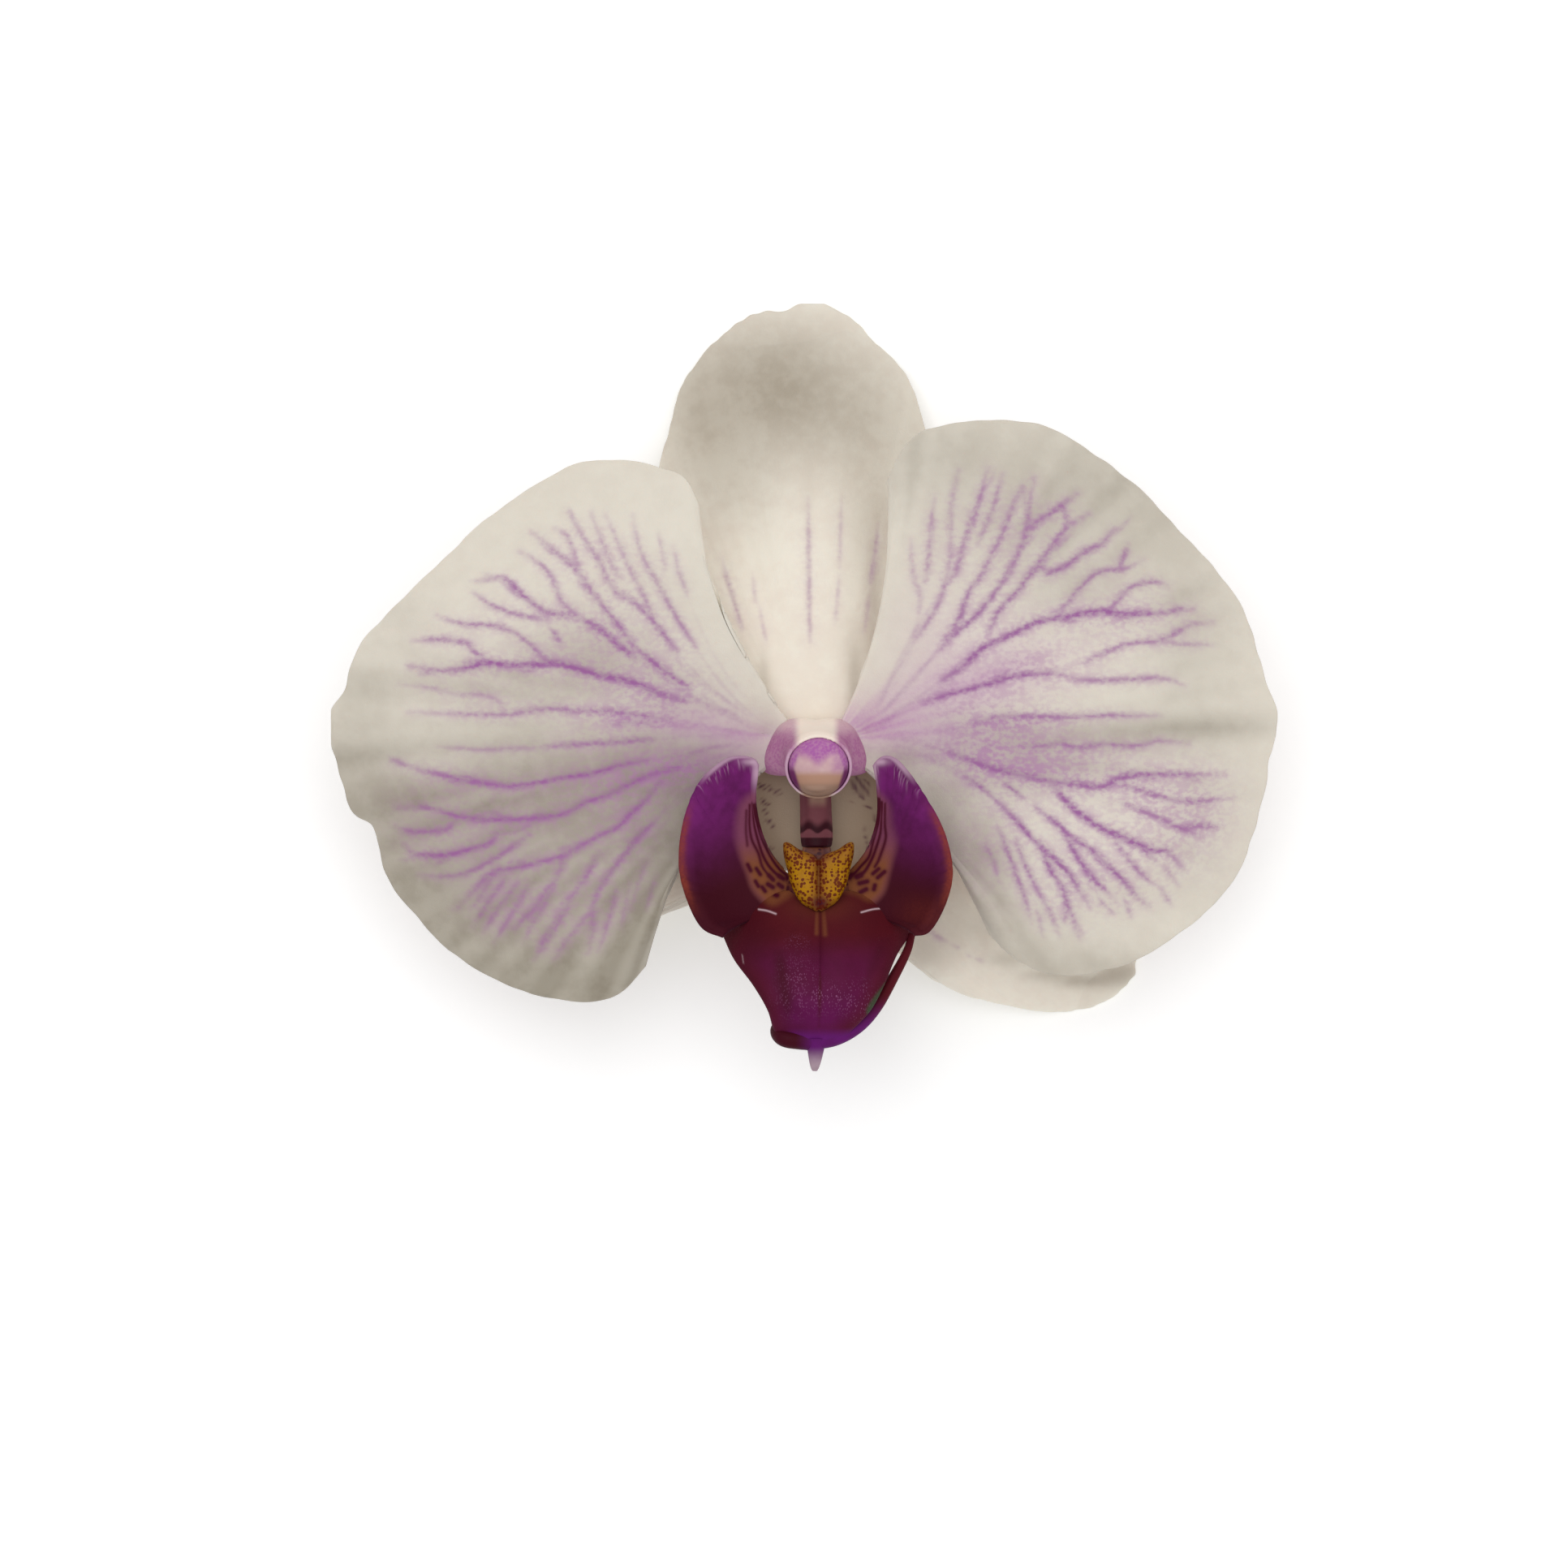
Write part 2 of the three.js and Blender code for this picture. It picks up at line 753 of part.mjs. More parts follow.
// Assembly
const bloom = new THREE.Group();
bloom.add(
  piece("dorsal_sepal", sepal(DORSAL, 18, 15, sepalHeight([0, 0], [0, 43.5], 1.5)), COLORS.sepal),
  piece(
    "lateral_sepal_left",
    sepal(LATERAL_LEFT, 16, 13, sepalHeight([-0.3, -6], [-32.2, -15.6], 1.2)),
    COLORS.sepal,
  ),
  piece(
    "lateral_sepal_right",
    sepal(LATERAL_RIGHT, 16, 13, sepalHeight([0.3, -6], [32.6, -24.4], 1.2)),
    COLORS.sepal,
  ),
  piece(
    "petal_left",
    petal(
      PETAL_LEFT,
      petalHeight({
        root: [-4.8, -0.4],
        side: -1,
        tilt: 0.4,
        pleats: [
          [0.03, 1.1, 0.06],
          [-0.07, -0.8, 0.05],
          [-0.2, 0.5, 0.08],
        ],
      }),
    ),
    COLORS.petal,
  ),
  piece(
    "petal_right",
    petal(
      PETAL_RIGHT,
      petalHeight({
        root: [4.8, -0.4],
        side: 1,
        tilt: 1.1,
        pleats: [
          [0.09, 0.9, 0.06],
          [0, -0.9, 0.05],
          [-0.14, 0.4, 0.08],
        ],
      }),
    ),
    COLORS.petal,
  ),
  piece("lip", lip(), COLORS.lip, 0.45),
  piece("callus", geometryOf(callusBody()), COLORS.callus, 0.35),
  piece("column", column(), COLORS.column, 0.5),
  piece("anther_cap", antherCap(), COLORS.cap, 0.5),
  piece("pollinarium", pollinarium(), COLORS.pollen, 0.4),
  piece("pedicel", pedicel(), COLORS.stalk, 0.5),
);

// The box of the bloom is centred over the origin, with the table at z = 0.
const box = new THREE.Box3().setFromObject(bloom, true);
const middle = box.getCenter(vec(0, 0));
const part = new THREE.Group();
bloom.position.set(-middle.x, -middle.y, -box.min.z);
part.add(bloom);

export default part;
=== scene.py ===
"""A moth orchid bloom, picked with its own short stalk and lying face up on a pale table.

Every shape is drawn in millimetres in the bloom's own frame: +Z up, +Y to the top sepal, +X to the
right of the face, and the axis of growth at x = 0, y = 0. Points are moved into the scene's frame and
turned into metres only when they are put into a mesh.
"""

import math

import bpy
import numpy as np
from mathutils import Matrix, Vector


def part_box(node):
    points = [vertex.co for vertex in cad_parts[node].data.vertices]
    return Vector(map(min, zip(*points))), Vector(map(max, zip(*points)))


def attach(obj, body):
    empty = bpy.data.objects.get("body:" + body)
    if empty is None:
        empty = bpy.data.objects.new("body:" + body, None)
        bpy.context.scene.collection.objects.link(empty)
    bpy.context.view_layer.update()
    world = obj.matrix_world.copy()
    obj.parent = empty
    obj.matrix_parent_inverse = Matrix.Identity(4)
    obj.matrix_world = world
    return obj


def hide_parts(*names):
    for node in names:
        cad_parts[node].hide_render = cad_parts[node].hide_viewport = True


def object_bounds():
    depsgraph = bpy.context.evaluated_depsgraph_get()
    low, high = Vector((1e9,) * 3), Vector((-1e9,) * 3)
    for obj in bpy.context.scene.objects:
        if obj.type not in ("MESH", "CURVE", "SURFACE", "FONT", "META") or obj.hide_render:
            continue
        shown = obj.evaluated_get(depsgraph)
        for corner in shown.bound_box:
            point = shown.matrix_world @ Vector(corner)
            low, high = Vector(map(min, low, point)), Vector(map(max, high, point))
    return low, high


bl_info = {
    "name": "Moth orchid bloom",
    "version": (1, 0, 0),
    "blender": (4, 5, 0),
    "location": "3D View > Sidebar > Orchid",
    "description": "Builds one open moth orchid bloom round its packed frame",
    "category": "Add Mesh",
}

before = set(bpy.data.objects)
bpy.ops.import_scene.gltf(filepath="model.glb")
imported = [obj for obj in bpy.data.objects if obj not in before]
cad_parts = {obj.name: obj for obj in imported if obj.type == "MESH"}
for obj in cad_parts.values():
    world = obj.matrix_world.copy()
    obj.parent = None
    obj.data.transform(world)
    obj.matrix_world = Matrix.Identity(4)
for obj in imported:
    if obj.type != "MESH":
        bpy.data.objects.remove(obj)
CAD_LOW, CAD_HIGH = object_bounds()

# Where the bloom's own frame lies in the scene
MM = 0.001
FOOT_REACH = 11.8  # from the axis of growth to the end of the column's foot
column_low, column_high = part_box("column")
SHIFT = np.array(
    (
        (column_low.x + column_high.x) / 2 / MM,
        column_low.y / MM + FOOT_REACH,
        0,
    )
)

# The view of the photograph, and the studio round it
VIEW_CENTRE = (-3.239, -5.412)
VIEW_WIDTH = 158.3
VIEW_HEIGHT = 14.0
CAMERA_DISTANCE = 3000.0
SENSOR = 36.0
TABLE_SIZE = 8
LIGHT_SIZE = 0.8
KEY_PLACE = (-0.1, 0.22, 0.9)
FILL_PLACE = (0.6, -0.25, 0.5)

# How the blades are bent, as in the frame's own solids
SEPAL_BASE_HEIGHT = 11.7
SEPAL_CURL = 13.3
CURL_POWER = 1.7
PETAL_BASE_HEIGHT = 13.7
PETAL_RISE = 1.9
PETAL_REACH = 50.0
PETAL_DOME = 2.1
PETAL_ROLL = 2.6
PETAL_WAVE = 0.55
LOBE_BASE_HEIGHT = 16.2
LOBE_INNER_RISE = 3.4
LOBE_OUTER_RISE = 6.4
LOBE_HOLLOW = 0.9
LOBE_LEAN = 0.6
MIDLOBE_BASE_HEIGHT = 17
MIDLOBE_START = -16.4  # where along y the middle lobe begins
MIDLOBE_LENGTH = 15.4
MIDLOBE_HALF_WIDTH = 9.8
MIDLOBE_MIDDLE = 0.3
MIDLOBE_CREST = 0.72  # how far along it the middle lobe is highest
MIDLOBE_RISE = 5.4
MIDLOBE_DIP = 1.6
MIDLOBE_DROOP = 3.6
MIDLOBE_GROOVE = 0.5
MIDLOBE_CREASE = 0.22

# How finely each blade is divided, across its rays and along them
PETAL_GRID = (400, 118)
TOP_SEPAL_GRID = (190, 130)
LOWER_SEPAL_GRID = (170, 130)
LOBE_GRID = (220, 150)
RIM_CROWDING = 0.4  # how much closer the points lie towards the margin
DENT_SPAN = 40  # length of a ray on which the dents of a margin are measured

# The blades' outlines. A margin is drawn point by point. The two sides of a blade run from the ends of its
# margin to the ends of its base, and its bends give how far each of them bows
DORSAL = {
    "base": ((-2.8, 0.2), (2.6, 0.2)),
    "bends": ((-1.6, -2.6), (1.4, -2.6)),
    "margin": (
        (-15.2, 21.5), (-15.9, 26), (-14.8, 30.5), (-13.7, 34.6), (-11.6, 37.9), (-9.2, 40.4),
        (-6.1, 42.4), (-3, 42.7), (-1.5, 43.4), (0.4, 43.5), (3.5, 42), (6.3, 39.2), (9.2, 36.1),
        (10.7, 32), (11.9, 27), (12.3, 22),
    ),
}
LATERAL_RIGHT = {
    "base": ((0.3, -13.2), (0.3, -0.9)),
    "bends": ((-1.4, -0.8), (0.5, 1.45)),
    "margin": (
        (11.9, -25.2), (16, -27), (20, -28), (23.6, -28.5), (28.3, -28), (31.3, -26.1), (32.6, -24),
        (31.9, -20), (29.4, -14.8), (25, -9.8), (19.6, -6.3),
    ),
}
LATERAL_LEFT = {
    "base": ((-0.3, -0.9), (-0.3, -13.2)),
    "bends": ((4, 1.45), (-15.5, -6.6)),
    "margin": (
        (-20.4, -3.2), (-26.6, -5.8), (-30.6, -10.2), (-32.2, -15), (-31.4, -18.6),
        (-28, -21.2), (-22.6, -21.4), (-17.6, -19.2), (-14, -16.8),
    ),
}
PETAL_LEFT = {
    "base": ((-3.6, -2.8), (-2.8, 1)),
    "bends": ((-2.95, 4.9), (-4.2, -0.3)),
    "margin": (
        (-17.2, -23.8), (-20.1, -26.7), (-24.2, -27.4), (-30.8, -25.9), (-36.5, -22.6),
        (-40.6, -18.5), (-43.4, -14.6), (-44.6, -9.9), (-46.9, -8), (-48.7, -2.2), (-49.2, 1.4),
        (-47.7, 3.9), (-46.3, 8.2), (-43.1, 11.9), (-37.7, 17.2), (-32.4, 22), (-25, 26.6),
        (-20.1, 27.3), (-16.6, 26.8), (-13.4, 25.6), (-11.8, 22.8),
    ),
}
PETAL_RIGHT = {
    "base": ((2.6, 1), (3.6, -2.8)),
    "bends": ((2.9, -1.8), (2.05, 2.75)),
    "margin": (
        (7.4, 25.4), (8.8, 28.3), (11.2, 30.4), (15.4, 31.2), (20.9, 31.2), (25, 29.9), (31.6, 25.4),
        (35.7, 21.3), (40.6, 16), (43.5, 11.5), (45.5, 4.9), (46.7, 1.5), (45.8, -3.2), (45.2, -7),
        (43.1, -13.5), (40.6, -17.2), (35.7, -21.3), (30.8, -23.8), (25, -24.8), (20.7, -23.4),
        (17.6, -20.6),
    ),
}
LOBE_LEFT = {
    "base": ((-3.4, -18.4), (-2.1, -14.8)),
    "bends": ((-1.6, 0.4), (-3.2, -3.1)),
    "margin": (
        (-9.3, -20.8), (-11.5, -19.7), (-13.1, -16.4), (-13.7, -13.1), (-13.2, -9), (-11.7, -5.3),
        (-9.2, -3), (-7.4, -2.6), (-6.2, -2.9), (-5.7, -3.5),
    ),
}
LOBE_RIGHT = {
    "base": ((2.4, -14.8), (3.7, -18.4)),
    "bends": ((3.7, -3.3), (1.6, 0.4)),
    "margin": (
        (5.8, -3.6), (6.3, -2.9), (7.2, -2.6), (8.4, -3.2), (10.4, -5.8), (12.7, -9.8), (13.7, -13.9),
        (13.1, -17.2), (11.5, -20.1), (9.9, -20.6),
    ),
}
MIDLOBE = {
    "base": ((-3.6, -16.4), (3.9, -16.4)),
    "bends": ((-1.2, 1.2), (1.2, 1.2)),
    "margin": (
        (-9.5, -20.3), (-8.2, -23.1), (-6.2, -25.8), (-4.8, -28.2), (-4, -30.4), (-2, -31.6),
        (0.4, -31.8), (2.4, -31.2), (4.2, -29.6), (5.7, -27.9), (6.9, -25.6), (8.2, -22.6), (9.9, -20.2),
    ),
}

# The tendrils, the nib and the stalk, each along the middle of its path
TIP_HEIGHT = 20.4
TENDRIL_LEFT = (
    (0.5, -31.2, TIP_HEIGHT - 0.4), (-1.6, -31.2, TIP_HEIGHT + 0.2), (-3.2, -31, TIP_HEIGHT + 0.3),
    (-3.8, -30.2, TIP_HEIGHT - 1.1), (-2.9, -29.1, TIP_HEIGHT - 2.8), (-1.4, -29, TIP_HEIGHT - 4.4),
)
TENDRIL_RIGHT = (
    (-1, -31.3, TIP_HEIGHT), (1.8, -31, TIP_HEIGHT), (4.2, -29.8, TIP_HEIGHT - 0.3),
    (6.1, -27.8, TIP_HEIGHT - 0.9), (7.9, -24.8, TIP_HEIGHT - 1.7), (9.2, -22.3, TIP_HEIGHT - 2.6),
    (9.7, -20.6, TIP_HEIGHT - 3.3),
)
NIB = ((0, -31, TIP_HEIGHT), (0, -32.2, TIP_HEIGHT - 0.1), (-0.1, -34.3, TIP_HEIGHT - 0.5))
STALK_PATH = (
    (0, -0.8, 10.8), (0, -0.8, 9.2), (-0.2, 0.1, 6.8), (-0.9, 2.8, 4.4), (-2.1, 6.8, 2.8),
    (-4.1, 12, 2.05), (-6.6, 18.6, 1.75), (-9.2, 25.2, 1.7),
)

# The callus: one of its two plates, and how wide and how high the plate is at each level
CALLUS_FLOOR = 17.8
CALLUS_MIDDLE = 0.3
CALLUS_OVERLAP = 0.15
CALLUS_GROOVE = 0.35
CALLUS_HEART = (1.7, -14.9)
CALLUS_PLATE = (
    (0.12, -13.2), (0.45, -12.7), (1.2, -12.4), (2.1, -12.05), (2.75, -11.6), (3.2, -11.35), (3.6, -11.35),
    (3.7, -11.8), (3.6, -12.8), (3.25, -14.2), (2.9, -15.6), (2.1, -17.1), (1, -17.9), (0.12, -17.8),
)
CALLUS_LEVELS = ((0.8, -1.4), (0.88, -0.4), (1, 0.4), (1, 1.1), (0.8, 1.7), (0.45, 2.05), (0.12, 2.15))

# Bodies built up through ellipses, each with its centre, its direction and its two radii
UP = (0, 0, 1)
BACK = (0, -1, 0)
DISC_STACK = (
    ((0.2, -16, 14.6), UP, 2.6, 2.2),
    ((0.2, -16, 15.6), UP, 3.5, 2.6),
    ((0.2, -16, 16.5), UP, 3.3, 2.5),
    ((0.2, -15.7, 17.6), UP, 2.4, 2),
)
CLAW_STACK = (
    ((0.1, -11.2, 13.8), BACK, 1.3, 0.9),
    ((0.1, -12.2, 14.3), BACK, 1.5, 1.1),
    ((0.15, -13.4, 14.9), BACK, 1.7, 1.1),
    ((0.2, -15, 15.8), BACK, 2.2, 1.1),
)
FOOT_STACK = (
    ((0, -2, 13.9), BACK, 1.7, 1.4),
    ((0, -7, 14), BACK, 1.6, 1.4),
    ((0.1, -10.6, 14), BACK, 1.65, 1.4),
    ((0.1, -11.8, 14.2), BACK, 1.5, 1.3),
)

# The column, its cap and what lies under the cap
COLUMN_AXIS = np.array((0.02, -0.42, 0.9)) / np.linalg.norm((0.02, -0.42, 0.9))
CAP_CENTRE = np.array((0.28, -3.6, 20.85))
CAP_RADII = np.array((3.04, 3.25, 1.9))
SEAT_GAP = 0.02
BEAK_CENTRE = np.array((0.15, -5.5, 21))
BEAK_RADII = np.array((1.5, 0.75, 0.8))
HOLLOW_RADII = np.array((1.75, 1.2, 1.15))
MASS_RADII = np.array((0.72, 0.7, 0.45))
STIGMA_CENTRE = np.array((0.15, -5.7, 18))
STIGMA_RADII = np.array((1.5, 1.7, 1.9))
WING_LIFT = 1.2  # how far the wings reach up at their upper corners
WING_DROOP = 1.6  # how far they reach down at their lower corners

# How dark a vein is
STRONGEST = 1.15
STRONG = 0.95
MEDIUM = 0.7
FAINT = 0.42

# The veins of each blade, drawn one by one. Each begins with its strength.
RIGHT_VEINS = (
    (FAINT, (10.4, 12.2), (10.5, 13.7), (9.8, 15.9), (9.6, 19.5)),
    (MEDIUM, (11.1, 15.1), (11.4, 17.3), (11.7, 20.6), (12, 23.5)),
    (MEDIUM, (10.2, 9.3), (12.2, 12.4), (12.9, 14.4), (13.6, 17.3), (13.6, 19.9), (13.7, 22.8),
        (14.4, 26.1)),
    (STRONG, (12.9, 14.4), (14.2, 16.2), (14.9, 18.8), (15.8, 21), (16.6, 23.5), (17.3, 26.3)),
    (MEDIUM, (16.4, 19), (16.8, 19.9), (17.9, 22.4), (18.8, 25.7)),
    (STRONG, (13.1, 9.3), (14.6, 11.5), (15.3, 13.7), (16.8, 15.8), (17.9, 18), (19, 20.3), (20.1, 23.2),
     (20.8, 24.6)),
    (STRONG, (12.7, 8.3), (14.2, 9.8), (16.4, 11.8), (18.2, 14), (19.3, 15.8), (20.4, 17.7), (21.2, 19.9),
     (21.5, 22.4), (21.9, 25.4)),
    (STRONG, (21.4, 19.9), (22.6, 21.2), (24.5, 22.4), (26.3, 23.7)),
    (MEDIUM, (25.3, 20.4), (25.2, 21.6), (24.7, 22.6)),
    (STRONG, (17.5, 10), (18.6, 12.2), (20.3, 14), (21.2, 15.1), (22.6, 17), (23.7, 18.4), (25.2, 20.3),
     (27.4, 21.7)),
    (STRONG, (22.8, 16.6), (23.4, 15.9), (25.2, 16.6), (27, 17.9), (28.9, 18.8), (30, 20.3)),
    (MEDIUM, (24.1, 11.8), (25.2, 12.6), (26.7, 14.4), (28.5, 15.9), (31.1, 16.2), (32.9, 17.1)),
    (MEDIUM, (30.6, 16.4), (31, 17.4), (31.4, 18.6)),
    (MEDIUM, (29.6, 12.1), (30.3, 12.9), (31.8, 14.4), (34, 14.9), (35.5, 14.4)),
    (STRONGEST, (12.9, 5.1), (14.9, 6.5), (16.8, 8.2), (18.7, 9.1), (20.5, 10), (22.4, 10.9), (25.6, 11.5),
     (28.8, 12), (31.2, 11.6), (33.9, 11.7), (38.1, 12.1)),
    (MEDIUM, (27.2, 6.8), (29.3, 7.9), (32.1, 8.8), (34.9, 9.1), (37.6, 10.5), (40, 10.9)),
    (FAINT, (35.4, 8.8), (37.5, 8.6), (40, 8.6)),
    (STRONG, (11.2, 2.8), (13.1, 3.5), (15.4, 4.1), (17.7, 4.7), (20, 5.4), (22.4, 5.7), (24.7, 5.6),
     (26.1, 5.1)),
    (MEDIUM, (26.1, 5.1), (28.8, 5), (31.6, 5.1), (35.3, 5.2), (37.2, 4.4)),
    (MEDIUM, (16.1, 0.7), (18.2, 1.3), (20.5, 1.4), (24.7, 1.3), (29.3, 1.5), (34.9, 1.5)),
    (MEDIUM, (21, -1.6), (23.3, -1.6), (24.7, -1.3), (26.5, -1.8), (28.8, -1.4), (32.1, -1.6), (34.4, -1.1),
     (37.6, -1.3)),
    (STRONG, (13.6, -2.3), (15.9, -3.2), (18.2, -4), (21, -4.6), (23.3, -5.1), (26.1, -5.5), (29, -5.7),
     (30.4, -4.9), (33, -4.5), (35.8, -4.4), (38.6, -4.4), (41.3, -4.4)),
    (MEDIUM, (30.2, -5.3), (32.7, -6), (35.1, -6.8), (37.6, -7.1), (42.2, -6.8)),
    (MEDIUM, (31, -7.4), (34.3, -8.7), (36.8, -9.9), (38.9, -10.8)),
    (MEDIUM, (36.8, -9.8), (38.8, -9.6), (41, -9.7)),
    (STRONGEST, (23.9, -5.6), (26, -7.9), (28.5, -9.7), (31, -10.8), (33.5, -12), (35.4, -12.2),
        (37, -13.9)),
    (STRONG, (22.3, -7.9), (24.4, -9.5), (25.6, -10.6), (27.7, -12), (29.3, -13.5), (31, -15.1), (32.7, -17),
     (33.5, -17.6)),
    (MEDIUM, (30.2, -11.2), (31.4, -12.8), (32.9, -14.5), (34.3, -15.5)),
    (MEDIUM, (15.2, -4.8), (17, -6), (18.8, -7.7)),
    (MEDIUM, (19.2, -5.4), (21.2, -7)),
    (STRONG, (18.8, -7.7), (20.6, -9.5), (22.3, -11.4), (23.9, -12.8), (25.6, -14.5), (26.6, -16.2),
     (27.7, -17.8)),
    (STRONG, (22.7, -11.6), (23.7, -14.1), (25, -16), (25.4, -17.8), (26.8, -20.3)),
    (MEDIUM, (25.4, -17.8), (25.1, -19.4)),
    (MEDIUM, (20.2, -11.2), (21.2, -13.7), (22.3, -16), (23.5, -18.2), (24.6, -20.7)),
    (STRONG, (25.2, -10.6), (26.4, -12.8), (28.1, -15.1), (30.2, -17)),
    (MEDIUM, (18.5, -10.1), (19.3, -12.2), (20.2, -14.5), (21.2, -17.4), (21.7, -19.3)),
    (FAINT, (17.1, -11.6), (17.9, -13.3), (18.5, -15.3)),
    (FAINT, (28.5, -17), (30.2, -18.6)),
    (FAINT, (31, -17), (31.8, -18.8)),
    (FAINT, (34.7, -15.7), (35.8, -17.6)),
    (FAINT, (35.1, -13.7), (36.6, -15.6)),
    (FAINT, (22.3, -18.2), (22.9, -20.7)),
)
